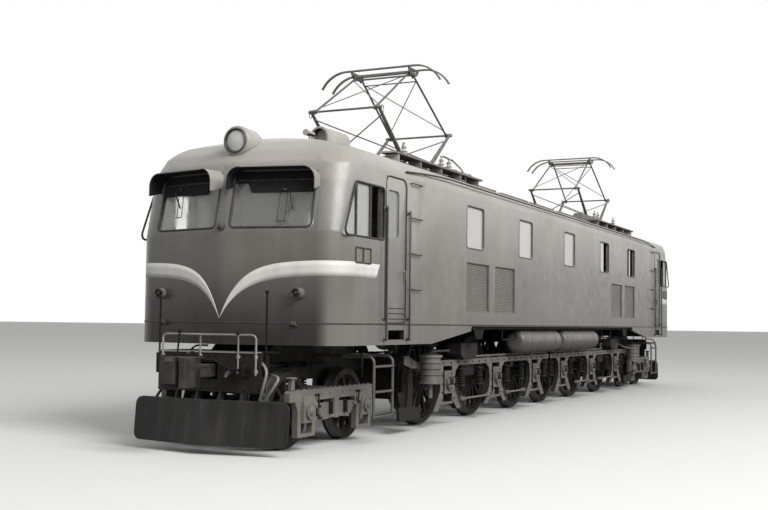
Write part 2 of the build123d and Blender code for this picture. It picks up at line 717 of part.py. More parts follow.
def make_plough():
    """Snow plough: a V blade that leans back, with round outer corners, on brackets from the beam."""
    bottom, top = PLOUGH_Z
    half = PLOUGH_HALF + 20
    faces = []
    for z, ridge, end in PLOUGH_LEVELS:
        end -= 20 / PLOUGH_HALF * (ridge - end)
        outline = [
            (ridge, 0), (end, half), (end - PLOUGH_SHEET, half), (ridge - PLOUGH_SHEET, 0),
            (end - PLOUGH_SHEET, -half), (end, -half),
        ]
        faces.append(Pos(0, 0, z) * polygon(outline))
    blade = loft([face.faces()[0] for face in faces], ruled=True)
    front_view = RectangleRounded(2 * PLOUGH_HALF, top - bottom, PLOUGH_CORNER)
    pieces = [blade & along(Pos(0, (bottom + top) / 2) * front_view, 9000, FAR_X)]
    root = BEAM_Z[0]
    for y in PLOUGH_STAY_Y:
        stay = polygon([
            (BEAM_X - BEAM_THICK, root), (BEAM_X, root), (plough_x(y, 500), 500), (plough_x(y, 250), 250),
            (plough_x(y, 200) - 60, 200), (9170, 480),
        ])
        pieces.append(across(stay, y - 10, y + 10))
    for side in (1, -1):
        foot = (plough_x(780, 480) - 6, side * 780, 480)
        pieces.append(rod((BEAM_X - 40, side * 640, root + 40), foot, 16))
    above = block(9000, FAR_X, -PLOUGH_HALF, PLOUGH_HALF, root, BEAM_Z[1])
    save_ends("plough", [fused(pieces) - above])


def make_coupler():
    """Knuckle coupler: shank through the end beam, head, guard arm, knuckle and its pin."""
    head = polygon([
        (9540, -95), (9540, 95), (9640, 155), (9760, 185), (9930, 165), (9945, 105), (9890, 65),
        (9830, 45), (9800, -40), (9840, -60), (9900, -110), (9885, -195), (9760, -215), (9640, -160),
    ])
    head = upward(fillet(head.vertices(), 12), COUPLER_Z - 160, COUPLER_Z + 160)
    knuckle = polygon([
        (9790, -60), (9850, -130), (9930, -150), (COUPLER_FACE, -60), (COUPLER_FACE, 35), (9880, 55),
        (9855, -20),
    ])
    pieces = [head, upward(knuckle, COUPLER_Z - 120, COUPLER_Z + 120)]
    pieces.append(rod((9880, -135, COUPLER_Z - 185), (9880, -135, COUPLER_Z + 185), 24))
    shank = Pos(0, COUPLER_Z) * RectangleRounded(140, 150, 25)
    pieces.append(along(shank, CROSS_MEMBER_X[1], 9550))
    save_ends("coupler", [fused(pieces)])


def brake_shoe(x, side):
    """One brake shoe beside a driving wheel, on its hanger from a pin in the side plate."""
    z = DRIVER_RADIUS
    ring = Circle(BRAKE_RADIUS + 48) - Circle(BRAKE_RADIUS)
    wedge = polygon([(0, 0), (side * 800, -190), (side * 800, 190)])
    shoe = across(Pos(x, z) * (ring & wedge), 537, 612)
    reach = x + side * (BRAKE_RADIUS + 70)
    pin_z = (BAR_Z[0] + BAR_Z[1]) / 2
    hanger = block(reach - 28, reach + 28, 545, 585, z - 60, pin_z + 35)
    pin = drum(reach, pin_z, 22, 545, FRAME_Y - FRAME_THICK / 2)
    return fused([shoe, hanger, pin])


def make_running_gear():
    """Axle boxes, brake shoes, sand boxes and the upright brake cylinders of the main truck."""
    pieces = []
    y1 = FRAME_Y + FRAME_THICK / 2
    for x in DRIVER_X:
        box_part = block(x - JAW + 5, x + JAW - 5, 905, y1 + 20, 445, 765)
        cover = drum(x, DRIVER_RADIUS, 130, y1 + 20, y1 + 60)
        bore = drum(x, DRIVER_RADIUS, DRIVER_JOURNAL + JOURNAL_GAP, 890, 1042)
        pieces += mirrored(fused([box_part, cover]) - bore)
        pieces += mirrored(brake_shoe(x, 1))
    x, y = BRAKE_CYLINDER_X, BRAKE_CYLINDER_Y
    # One row per step of the cylinder: lower end, upper end, radius
    steps = ((440, 630, 30), (630, 655, 160), (655, 980, 135), (980, 1010, 160))
    cylinder = [rod((x, y, z0), (x, y, z1), radius) for z0, z1, radius in steps]
    cylinder.append(block(x - 70, x + 70, y1, y - 100, 800, 900))
    pieces += mirrored(fused(cylinder))
    x0, x1 = SAND_BOX_X
    low = BAR_Z[1]
    hopper = polygon([
        (x0, 1000), (x0 + 120, low), (x1 - 120, low), (x1, 1000), (x1, SAND_BOX_Z), (x0, SAND_BOX_Z),
    ])
    pieces += mirrored(across(hopper, *SAND_BOX_Y))
    save_ends("running_gear", pieces)


def make_motors():
    """Three traction motors between the driving wheels, each a plain round block."""
    motors = [drum(x, 680, 320, -430, 430) for x in (1340, 2320, 5300)]
    save_ends("traction_motors", motors)


# Leading truck


def leaf_spring(y0, y1):
    """The leaf spring hung between the two leading axles, longest leaf on top, with its buckle."""
    pieces = []
    for leaf in range(5):
        half = 500 - 42 * leaf
        z = 505 - 36 * leaf
        outline = polygon([
            (LEAD_PIVOT_X - half, z - 22), (LEAD_PIVOT_X, z + 4), (LEAD_PIVOT_X + half, z - 22),
            (LEAD_PIVOT_X + half, z - 58), (LEAD_PIVOT_X, z - 34), (LEAD_PIVOT_X - half, z - 58),
        ])
        pieces.append(across(outline, y0, y1))
    pieces.append(block(LEAD_PIVOT_X - 50, LEAD_PIVOT_X + 50, y0 - 8, y1 + 8, 310, 560))
    return pieces


def make_lead_truck():
    """Leading truck: side frames with pedestals, axle boxes, hung leaf springs and the transom."""
    y0 = LEAD_FRAME_Y - LEAD_FRAME_THICK / 2
    y1 = LEAD_FRAME_Y + LEAD_FRAME_THICK / 2
    rear, front = LEADER_X
    top = polygon([
        (rear - 300, 560), (rear - 300, 640), (rear - 200, 665), (front + 340, 665), (front + 380, 640),
        (front + 380, 540), (rear - 200, 540),
    ])
    side = [across(top, y0, y1), *leaf_spring(y0, y1)]
    for x, way in ((rear, 1), (front, -1)):
        for hand in (1, -1):
            leg = [(LEAD_JAW, 560), (265, 560), (200, 440), (200, 160), (LEAD_JAW, 160)]
            side.append(across(polygon([(x + hand * u, z) for u, z in leg]), y0, y1))
        side.append(block(x - 200, x + 200, y0, y1, 140, 175))
        box_part = block(x - LEAD_JAW, x + LEAD_JAW, y0 - 20, y1 + 45, 300, 540)
        cover = drum(x, LEADER_RADIUS, 95, y1 + 45, y1 + 70)
        side.append(fused([box_part, cover]) - drum(x, LEADER_RADIUS, LEADER_JOURNAL + JOURNAL_GAP, 760, 910))
        neck = [
            (-110, 540), (-110, 590), (90, 590), (190, 520), (230, 480), (300, 480), (300, 440),
            (210, 440), (80, 540),
        ]
        side.append(across(polygon([(x + way * u, z) for u, z in neck]), y1 - 5, y1 + 30))
    frame_side = fused(side)
    transom = block(LEAD_PIVOT_X - 220, LEAD_PIVOT_X + 220, -y0, y0, 545, 660)
    pivot = rod((LEAD_PIVOT_X, 0, 660), (LEAD_PIVOT_X, 0, 732), 150)
    save_ends("lead_truck", [fused([*mirrored(frame_side), transom, pivot])])


# Pantographs


def make_pantograph_bases():
    """Base frame of each pantograph on four insulators, with the bearings of both shafts."""
    pieces = []
    for y in (-BASE_Y, BASE_Y):
        pieces.append(block(PANTO_X - 780, PANTO_X + 780, y - 30, y + 30, 3690, 3725))
        for x in (-BASE_SHAFT_X, BASE_SHAFT_X):
            pieces.append(block(PANTO_X + x - 35, PANTO_X + x + 35, y - 18, y + 18, 3725, 3744))
    for x in (-760, -440, 440, 760):
        pieces.append(block(PANTO_X + x - 25, PANTO_X + x + 25, -BASE_Y, BASE_Y, 3690, 3725))
    profile = polygon([
        (0, 3400), (55, 3400), (55, 3590), (85, 3605), (50, 3622), (85, 3639), (50, 3656), (70, 3675),
        (50, 3690), (0, 3690),
    ])
    column = revolve(Plane.XZ * profile, Axis.Z)
    feet = [(x, y) for x in (-700, 700) for y in (-BASE_Y, BASE_Y)]
    insulators = [largest(Pos(PANTO_X + x, y, 0) * column - OUTER) for x, y in feet]
    save("pantograph_bases", both_ends([fused(pieces), *insulators]))


def between(start, end, share):
    """The point a given share of the way from start to end, in X and Z."""
    return (start[0] + share * (end[0] - start[0]), start[1] + share * (end[1] - start[1]))


def lower_frame(way):
    """Lower arms with their shaft, knuckle tube and cross braces; way is 1 outwards or -1 inwards."""
    foot = (way * BASE_SHAFT_X, BASE_SHAFT_Z)
    knee = (way * KNUCKLE_X, KNUCKLE_Z)
    pieces = [drum(*foot, 30, -LOWER_Y - 30, LOWER_Y + 30), drum(*knee, 15, -LOWER_Y - 45, LOWER_Y + 45)]
    sag = -20
    near = between(foot, knee, 0.12)
    far = between(foot, knee, 0.88)
    for y in (-LOWER_Y, LOWER_Y):
        pieces.append(rod((foot[0], y, foot[1]), (knee[0], y, knee[1]), 34, 21))
        pieces.append(drum(*knee, 28, y - 18, y + 18))
        pieces.append(drum(*knee, 26, math.copysign(LOWER_Y + 28, y) - 8, math.copysign(LOWER_Y + 28, y) + 8))
        pieces.append(rod((near[0], y, near[1] + sag), (far[0], -y, far[1] + sag), 9))
    return Pos(PANTO_X, 0, 0) * fused(pieces)


def upper_frame(way, eye_gap):
    """Upper arms from the knuckle to the head pin, with their braces and the eyes at both ends."""
    knee = (way * KNUCKLE_X, KNUCKLE_Z)
    head = (way * HEAD_PIN_X, HEAD_PIN_Z)
    eye = 14 + eye_gap + 12
    start = between(knee, head, 26 / UPPER_ARM)
    end = between(knee, head, 1 - eye / UPPER_ARM)
    low = between(knee, head, 0.07)
    high = between(knee, head, 0.90)
    lift = 10
    pieces = [rod((high[0], -UPPER_HEAD_Y - 5, high[1]), (high[0], UPPER_HEAD_Y + 5, high[1]), 9)]
    for side in (1, -1):
        knee_y = side * UPPER_KNEE_Y
        head_y = side * UPPER_HEAD_Y
        pieces.append(rod((start[0], knee_y, start[1]), (end[0], head_y, end[1]), 15))
        pieces.append(drum(*knee, 34, knee_y - 16, knee_y + 16))
        pieces.append(drum(*head, eye + 4, head_y - 14, head_y + 14))
        pieces.append(rod((low[0], knee_y, low[1] + lift), (high[0], -head_y, high[1] + lift), 7))
    frame = fused(pieces) - drum(*knee, 15 + 2, -700, 700) - drum(*head, 14 + eye_gap, -460, 460)
    return Pos(PANTO_X, 0, 0) * frame


def slider(x, z):
    """One contact strip of the head, with both ends curved down into horns."""
    flat = Line((-560, 0), (560, 0))
    horn = ThreePointArc((560, 0), (800, -70), (960, -240))
    other = ThreePointArc((-960, -240), (-800, -70), (-560, 0))
    path = Plane.YZ * Wire([*other.edges(), *flat.edges(), *horn.edges()])
    section = Plane(origin=path @ 0, z_dir=path % 0) * Rectangle(22, 40)
    return Pos(x, 0, z) * sweep(section, path=path)


def make_head():
    """Pantograph head: two strips, their carriers and the two head pins."""
    pieces = [slider(x, HEAD_PIN_Z + 82) for x in (-165, 165)]
    carrier = polygon([(-175, 74), (175, 74), (175, 40), (110, -22), (-110, -22), (-175, 40)])
    slot = polygon([(-120, 40), (120, 40), (80, 22), (-80, 22)])
    for y in (-HEAD_Y, HEAD_Y):
        pieces.append(across(Pos(0, HEAD_PIN_Z) * (carrier - slot), y - 8, y + 8))
    for way in (1, -1):
        pieces.append(drum(way * HEAD_PIN_X, HEAD_PIN_Z, 14, -HEAD_Y, HEAD_Y))
    return Pos(PANTO_X, 0, 0) * fused(pieces)


def make_pantographs():
    """Both pantographs, each with five moving pieces."""
    save_ends("panto_lower_outer", [lower_frame(1)])
    save_ends("panto_lower_inner", [lower_frame(-1)])
    save_ends("panto_upper_outer", [upper_frame(1, 2)])
    save_ends("panto_upper_inner", [upper_frame(-1, HEAD_PIN_DRIFT)])
    save_ends("panto_head", [make_head()])


make_cabs()
make_machine_room()
make_underframe()
make_doors()
make_glass()
make_intakes()
make_visors()
make_lamps()
make_handrails()
make_tanks()
make_roof_gear()
make_inside()
make_wheelsets()
make_truck_frame()
make_end_deck()
make_plough()
make_coupler()
make_running_gear()
make_motors()
make_lead_truck()
make_pantograph_bases()
make_pantographs()
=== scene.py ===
"""Dresses the streamlined electric locomotive: finishes, fittings, studio and camera.

New surfaces are drawn with heights above the rail top, on the front end or its left side. The
wheel flanges reach FLANGE below the rail top, so every piece is lifted by it as it is made.
"""
import json
import logging
import math
from abc import ABC, abstractmethod
from collections.abc import Callable, Sequence
from dataclasses import dataclass, field
from enum import Enum
from functools import cached_property

import bmesh
import bpy
import numpy as np
from mathutils import Matrix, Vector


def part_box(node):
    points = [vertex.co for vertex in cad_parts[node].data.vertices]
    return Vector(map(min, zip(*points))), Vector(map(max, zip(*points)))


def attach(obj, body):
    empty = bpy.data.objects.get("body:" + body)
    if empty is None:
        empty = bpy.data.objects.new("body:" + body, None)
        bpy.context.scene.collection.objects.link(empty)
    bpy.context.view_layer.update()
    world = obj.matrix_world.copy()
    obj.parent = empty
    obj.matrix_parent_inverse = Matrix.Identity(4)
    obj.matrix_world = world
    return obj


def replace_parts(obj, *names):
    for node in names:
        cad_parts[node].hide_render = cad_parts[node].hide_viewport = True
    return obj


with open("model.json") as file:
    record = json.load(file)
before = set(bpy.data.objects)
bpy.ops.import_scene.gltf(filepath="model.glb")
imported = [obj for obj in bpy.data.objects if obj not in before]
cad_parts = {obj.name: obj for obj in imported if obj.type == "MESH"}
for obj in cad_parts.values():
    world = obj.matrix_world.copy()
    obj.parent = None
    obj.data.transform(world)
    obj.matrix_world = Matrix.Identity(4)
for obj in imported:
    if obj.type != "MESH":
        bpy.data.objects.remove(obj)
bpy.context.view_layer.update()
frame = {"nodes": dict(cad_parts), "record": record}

LOG = logging.getLogger("locomotive")

Array = np.ndarray
Point = tuple[float, float, float]
Pair = tuple[float, float]
Colour = tuple[float, float, float]
Socket = bpy.types.NodeSocket
FaceRule = Callable[[Array, Array], Array]

FLANGE = 0.027
BODY_HALF_WIDTH = 1.400
NOSE_ANGLE = math.radians(12)
NOSE_LEVELS = np.array(((1.100, 9.070), (2.430, 9.070), (3.040, 8.945), (3.240, 8.870), (3.400, 8.760)))
CORNER_RADIUS = 0.380
TIP_RADIUS = 0.500
ENDS = ("front", "rear")
SIDES = (1, -1)
ALONG, ACROSS, UP = 0, 1, 2
FULL_TURN = 2 * math.pi
BEND_STEPS = 7


class Place(Enum):
    """The CAD bodies that the added pieces ride on."""

    CARBODY = "carbody"
    TRUCK = "truck"
    LEAD_TRUCK = "lead_truck"
    OUTER_ARM = "panto_lower_outer"

    def at(self, end: str) -> str:
        """Name of the CAD body at one end of the vehicle."""
        return f"{self.value}_{end}"


class Shading(Enum):
    """How the faces of a new piece are shaded."""

    EDGED = 32.0
    SMOOTH = 180.0


# Shapes as arrays


@dataclass
class Patch:
    """A surface as arrays: its points, its four-sided faces and any faces with more sides."""

    points: Array
    quads: Array
    lids: list[Array] = field(default_factory=list)

    def moved(self, shift: Point) -> "Patch":
        """The same surface, moved."""
        return Patch(self.points + np.asarray(shift, float), self.quads, self.lids)

    def turned(self, matrix: Array) -> "Patch":
        """The same surface, turned by a matrix about the origin."""
        return Patch(self.points @ matrix.T, self.quads, self.lids)

    def mirrored(self) -> "Patch":
        """The mirror image across the middle plane, with its faces turned to point outwards."""
        flipped = self.points * np.array((1.0, -1.0, 1.0))
        return Patch(flipped, self.quads[:, ::-1], [lid[::-1] for lid in self.lids])

    def half_turned(self) -> "Patch":
        """The same surface at the other end of the vehicle, turned half round about Z."""
        return Patch(self.points * np.array((-1.0, -1.0, 1.0)), self.quads, self.lids)


def joined(patches: Sequence[Patch]) -> Patch:
    """One surface from several, with the face numbers shifted past the points before them.

    Args:
        patches: The surfaces, in any order.

    Returns:
        All of their points and faces.
    """
    starts = np.cumsum([0] + [len(patch.points) for patch in patches])
    points = np.concatenate([patch.points for patch in patches])
    quads = np.concatenate([patch.quads + start for patch, start in zip(patches, starts)])
    lids = [lid + start for patch, start in zip(patches, starts) for lid in patch.lids]
    return Patch(points, quads, lids)


def both_sides(*patches: Patch) -> Patch:
    """Surfaces of the left side as one, with their mirror image on the right."""
    left = joined(patches)
    return joined((left, left.mirrored()))


def both_ends(*patches: Patch) -> Patch:
    """Surfaces of the front end as one, with their like at the rear end."""
    front = joined(patches)
    return joined((front, front.half_turned()))


def all_corners(*patches: Patch) -> Patch:
    """Surfaces of the front left quarter as one, with their likes at the other three."""
    return both_ends(both_sides(*patches))


def grid(points: Array, wrap_rows: bool = False, wrap_columns: bool = False, lids: bool = False) -> Patch:
    """Faces over a grid of points: each cell joins a point to its neighbours in the next row and column.

    Args:
        points: Array of shape (rows, columns, 3).
        wrap_rows: Whether the last row joins the first.
        wrap_columns: Whether the last column joins the first.
        lids: Whether a flat face closes each open end of the tube that the grid makes.

    Returns:
        The surface over the grid.
    """
    rows, columns = points.shape[:2]
    index = np.arange(rows * columns).reshape(rows, columns)
    right, below = np.roll(index, -1, axis=1), np.roll(index, -1, axis=0)
    cells = np.stack((index, right, np.roll(right, -1, axis=0), below), axis=-1)
    quads = cells[:rows - (not wrap_rows), :columns - (not wrap_columns)].reshape(-1, 4)
    closing = (index[0, ::-1], index[-1]) if wrap_columns else (index[:, 0], index[::-1, -1])
    return Patch(points.reshape(-1, 3), quads, list(closing) if lids else [])


def unit(vectors: Array) -> Array:
    """Each vector divided by its length."""
    return vectors / np.maximum(np.linalg.norm(vectors, axis=-1, keepdims=True), 1e-12)


def tube(path: Sequence[Point], radius: float, sides: int = 10, closed: bool = False,
         normal: Point | None = None) -> Patch:
    """A round bar along a path: at each point a circle stands across the direction to the next one.

    Args:
        path: Points of shape (n, 3).
        radius: Radius of the bar.
        sides: Points on each circle.
        closed: Whether the path joins its own start.
        normal: A direction that the path never follows; the axis it follows least, if left out.

    Returns:
        The surface, with flat lids on an open bar.
    """
    path = np.asarray(path, float)
    ahead = unit(np.roll(path, -1, axis=0) - np.roll(path, 1, axis=0) if closed else np.gradient(path, axis=0))
    if normal is None:
        normal = np.eye(3)[np.argmin(np.abs(ahead).max(axis=0))]
    across = unit(np.cross(ahead, np.asarray(normal, float)))
    over = np.cross(across, ahead)
    angle = np.linspace(0, FULL_TURN, sides, endpoint=False)[None, :, None]
    ring = np.cos(angle) * across[:, None] + np.sin(angle) * over[:, None]
    return grid(path[:, None] + radius * ring, wrap_rows=closed, wrap_columns=True, lids=not closed)


def bent(corners: Sequence[Point], bend: float, radius: float, sides: int = 8, normal: Point | None = None) -> Patch:
    """A round bar through corner points, each inner corner rounded by a quadratic curve.

    Args:
        corners: The points in order.
        bend: How far from a corner its curve starts and stops.
        radius: Radius of the bar.
        sides: Points on each circle.
        normal: A direction that the bar never follows.

    Returns:
        The bar's surface.
    """
    here = np.array(corners, float)
    rows = [here[:1]]
    share = np.linspace(0, 1, BEND_STEPS)[:, None]
    for before, corner, after in zip(here[:-2], here[1:-1], here[2:]):
        enter, leave = (corner + unit(other - corner) * bend for other in (before, after))
        rows.append((1 - share) ** 2 * enter + 2 * share * (1 - share) * corner + share**2 * leave)
    return tube(np.concatenate([*rows, here[-1:]]), radius, sides, normal=normal)


def lathe(profile: Sequence[Pair], sides: int = 24, ring: bool = False) -> Patch:
    """A shape turned about Z: each row of the profile is a circle at its height, with its radius.

    Args:
        profile: Rows of radius and height, from one end to the other.
        sides: Points on each circle.
        ring: Whether the profile joins its own start, for a shape with a hole.

    Returns:
        The surface, with a lid at each end where it is not a ring.
    """
    radius, height = np.array(profile, float).T[:, :, None]
    angle = np.linspace(0, FULL_TURN, sides, endpoint=False)
    rows = np.broadcast_arrays(radius * np.cos(angle), radius * np.sin(angle), height)
    return grid(np.stack(rows, axis=-1), wrap_rows=ring, wrap_columns=True, lids=not ring)


def slab(low: Point, high: Point, edge: float = 0.003) -> Patch:
    """A block with chamfered edges: four eight-cornered rings from bottom to top, the outer two drawn in.

    Args:
        low: Lowest corner.
        high: Highest corner.
        edge: Width of the chamfers.

    Returns:
        The closed surface.
    """
    low, high = np.asarray(low, float), np.asarray(high, float)
    edge = min(edge, 0.45 * float((high - low).min()))
    levels = np.array((low[2], low[2] + edge, high[2] - edge, high[2]))
    inset = np.array((edge, 0.0, 0.0, edge))[:, None]
    x0, y0, x1, y1 = low[0] + inset, low[1] + inset, high[0] - inset, high[1] - inset
    x = np.concatenate((x0 + edge, x1 - edge, x1, x1, x1 - edge, x0 + edge, x0, x0), axis=1)
    y = np.concatenate((y0, y0, y0 + edge, y1 - edge, y1, y1, y1 - edge, y0 + edge), axis=1)
    z = np.broadcast_to(levels[:, None], x.shape)
    return grid(np.stack((x, y, z), axis=-1), wrap_columns=True, lids=True)


def stamped(patch: Patch, places: Array) -> Patch:
    """The same small shape put at many places: every place is added to every point at once.

    Args:
        patch: The shape, about the origin.
        places: Array of shape (n, 3).

    Returns:
        All the copies as one surface.
    """
    places = np.asarray(places, float).reshape(-1, 3)
    shift = np.arange(len(places)) * len(patch.points)
    quads = (patch.quads[None] + shift[:, None, None]).reshape(-1, 4)
    points = (places[:, None] + patch.points[None]).reshape(-1, 3)
    return Patch(points, quads, [lid + start for start in shift for lid in patch.lids])


def rectangle(first: Pair, second: Pair) -> list[Pair]:
    """The four corners of a rectangle from its extent along two axes."""
    (a0, a1), (b0, b1) = first, second
    return [(a0, b0), (a1, b0), (a1, b1), (a0, b1)]


def rounded_loop(corners: Sequence[Pair], radius: float, steps: int = 6) -> Array:
    """A closed outline with round corners.

    At each corner a circle touches both edges; its arc runs from one touching point to the other, and
    its points lie between the two spokes from the circle's centre, each turned by an equal share.

    Args:
        corners: Corner points in order.
        radius: Radius of every corner.
        steps: Points on each corner.

    Returns:
        Points of shape (corners times steps, 2).
    """
    here = np.array(corners, float)
    back, ahead = (unit(np.roll(here, way, axis=0) - here) for way in (1, -1))
    half = 0.5 * np.arccos(np.clip((back * ahead).sum(axis=1), -1, 1))
    centre = here + unit(back + ahead) * (radius / np.sin(half))[:, None]
    touch = radius / np.tan(half)[:, None]
    first, last = (np.arctan2(*(here + way * touch - centre).T[::-1]) for way in (back, ahead))
    sweep = (last - first + math.pi) % FULL_TURN - math.pi
    angle = first[:, None] + sweep[:, None] * np.linspace(0, 1, steps)[None]
    return (centre[:, None] + radius * np.stack((np.cos(angle), np.sin(angle)), axis=-1)).reshape(-1, 2)


def upright_loop(corners: Sequence[Pair], y: float, corner: float, radius: float, steps: int = 6) -> Patch:
    """A thin round bar that runs round an opening in a side wall.

    Args:
        corners: Corner points, along and up.
        y: Where the bar stands across.
        corner: Radius of the opening's corners.
        radius: Radius of the bar.
        steps: Points on each corner.

    Returns:
        The bar's surface.
    """
    path = np.insert(rounded_loop(corners, corner, steps), ACROSS, y, axis=1)
    return tube(path, radius, 8, closed=True, normal=(0, 1, 0))


def circle(centre: Point, reach: float, axis: int, count: int, start: float = 0.0) -> Array:
    """Points on a circle about an axis: its cosines and sines fill the two other columns.

    Args:
        centre: Middle of the circle.
        reach: Its radius.
        axis: The column that stays as it is.
        count: Number of points.
        start: Angle of the first one.

    Returns:
        Points of shape (count, 3).
    """
    angle = start + np.arange(count) * FULL_TURN / count
    flat = np.stack((np.cos(angle), np.sin(angle)), axis=1)
    return np.asarray(centre, float) + reach * np.insert(flat, axis, 0.0, axis=1)


def hoop(centre: Point, reach: float, radius: float, axis: int) -> Patch:
    """A thin bar bent to a ring about an axis."""
    return tube(circle(centre, reach, axis, 48), radius, 6, closed=True, normal=np.eye(3)[axis])


def coil(start: Point, stop: Point, reach: float, wire: float, turns: int, steps: int) -> Patch:
    """A coil spring along an axis: a point that circles the line as it goes along it.

    Args:
        start: First end of the line.
        stop: Last end of the line.
        reach: Radius of the coil.
        wire: Radius of the wire.
        turns: Number of turns.
        steps: Points on each turn.

    Returns:
        The wire's surface.
    """
    start, stop = np.asarray(start, float), np.asarray(stop, float)
    axis = int(np.argmax(np.abs(stop - start)))
    share = np.linspace(0, 1, turns * steps)
    angle = FULL_TURN * turns * share
    flat = np.insert(np.stack((np.cos(angle), np.sin(angle)), axis=1), axis, 0.0, axis=1)
    return tube(start + share[:, None] * (stop - start) + reach * flat, wire, 6, normal=np.eye(3)[axis])


def facing(axis: Point) -> Array:
    """A turn that takes Z to the given axis.

    Args:
        axis: Where Z goes.

    Returns:
        The matrix of the turn.
    """
    ahead = unit(np.asarray(axis, float))
    side = unit(np.cross(ahead, np.eye(3)[np.argmin(np.abs(ahead))]))
    return np.stack((side, np.cross(ahead, side), ahead), axis=1)


TO_FRONT = facing((1, 0, 0))
TO_LEFT = facing((0, 1, 0))


def hex_bolt(size: float) -> Patch:
    """A washer and a hexagon nut that stand on the XY plane.

    Args:
        size: Outer radius of the nut.

    Returns:
        The bolt's surface.
    """
    washer = lathe([(1.15 * size, 0), (1.15 * size, 0.18 * size)], 12)
    nut = lathe([(0.95 * size, 0.18 * size), (0.95 * size, 0.75 * size), (0.78 * size, 0.88 * size)], 6)
    return joined((washer, nut))


def nose_x(y: Array | float, z: Array | float) -> Array | float:
    """How far forward the nose face stands: the tip's place at that height, less the slope of the V."""
    return np.interp(z, NOSE_LEVELS[:, 0], NOSE_LEVELS[:, 1]) - np.abs(y) * math.tan(NOSE_ANGLE)


def hull_outline(rear_x: float, steps: int = 140) -> tuple[Array, Array]:
    """The body's plan outline from a place on the left side, round the nose, to the same on the right.

    The side is straight, the corner is an arc of a quarter turn less the nose angle, the face is
    straight to the middle and the tip is a short arc. Each stretch adds its own share to x and y.

    Args:
        rear_x: Where the outline starts on the side.
        steps: Points on each half.

    Returns:
        The points and their outward normals, both of shape (2 * steps - 1, 2).
    """
    ahead, aside = math.cos(NOSE_ANGLE), math.sin(NOSE_ANGLE)
    turn = math.pi / 2 - NOSE_ANGLE
    corner_x = NOSE_LEVELS[0, 1] - BODY_HALF_WIDTH * aside / ahead - CORNER_RADIUS * math.tan(turn / 2)
    corner_y = BODY_HALF_WIDTH - CORNER_RADIUS
    face_length = (corner_y + (CORNER_RADIUS - TIP_RADIUS) * aside) / ahead
    lengths = np.array((corner_x - rear_x, CORNER_RADIUS * turn, face_length, TIP_RADIUS * NOSE_ANGLE))
    ends = np.cumsum(lengths)[:, None]
    along = np.linspace(0, ends[-1, 0], steps)
    side, arc, face, tip = np.clip(along - ends + lengths[:, None], 0, lengths[:, None])
    bend, dip = math.pi / 2 - arc / CORNER_RADIUS, NOSE_ANGLE - tip / TIP_RADIUS
    x = rear_x + side + CORNER_RADIUS * np.cos(bend) + face * aside + TIP_RADIUS * (np.cos(dip) - ahead)
    y = corner_y + CORNER_RADIUS * np.sin(bend) - face * ahead + TIP_RADIUS * (np.sin(dip) - aside)
    angle = bend + dip - NOSE_ANGLE
    halves = (np.stack((x, y), axis=1), np.stack((np.cos(angle), np.sin(angle)), axis=1))
    points, normals = (np.concatenate((left, (left * (1.0, -1.0))[::-1][1:])) for left in halves)
    return points, normals


def hull_strip(rear: Pair, lower: Callable[[Array], Array], upper: Callable[[Array], Array],
               proud: float, steps: int = 140) -> Patch:
    """A raised strip round the front half of the body, with its back sunk in the skin.

    Each row is the body's outline, moved out along its normals, at a height that lies at the same
    share between the lower and the upper edge.

    Args:
        rear: Where the strip ends on the side, at its lower and its upper edge.
        lower: Height of the lower edge, from the distance to the middle.
        upper: Height of the upper edge, likewise.
        proud: How far the strip stands out.
        steps: Points on each half.

    Returns:
        The closed surface.
    """
    sunk = -0.002
    layers = []
    for share, depth in ((0.0, sunk), (0.0, proud), (0.33, proud), (0.67, proud), (1.0, proud), (1.0, sunk)):
        outline, normal = hull_outline(rear[0] + (rear[1] - rear[0]) * share, steps)
        across = np.abs(outline[:, 1])
        bottom = lower(across)
        layers.append(np.column_stack((outline + normal * depth, bottom + share * (upper(across) - bottom))))
    return grid(np.stack(layers), wrap_rows=True, lids=True)


# Finishes


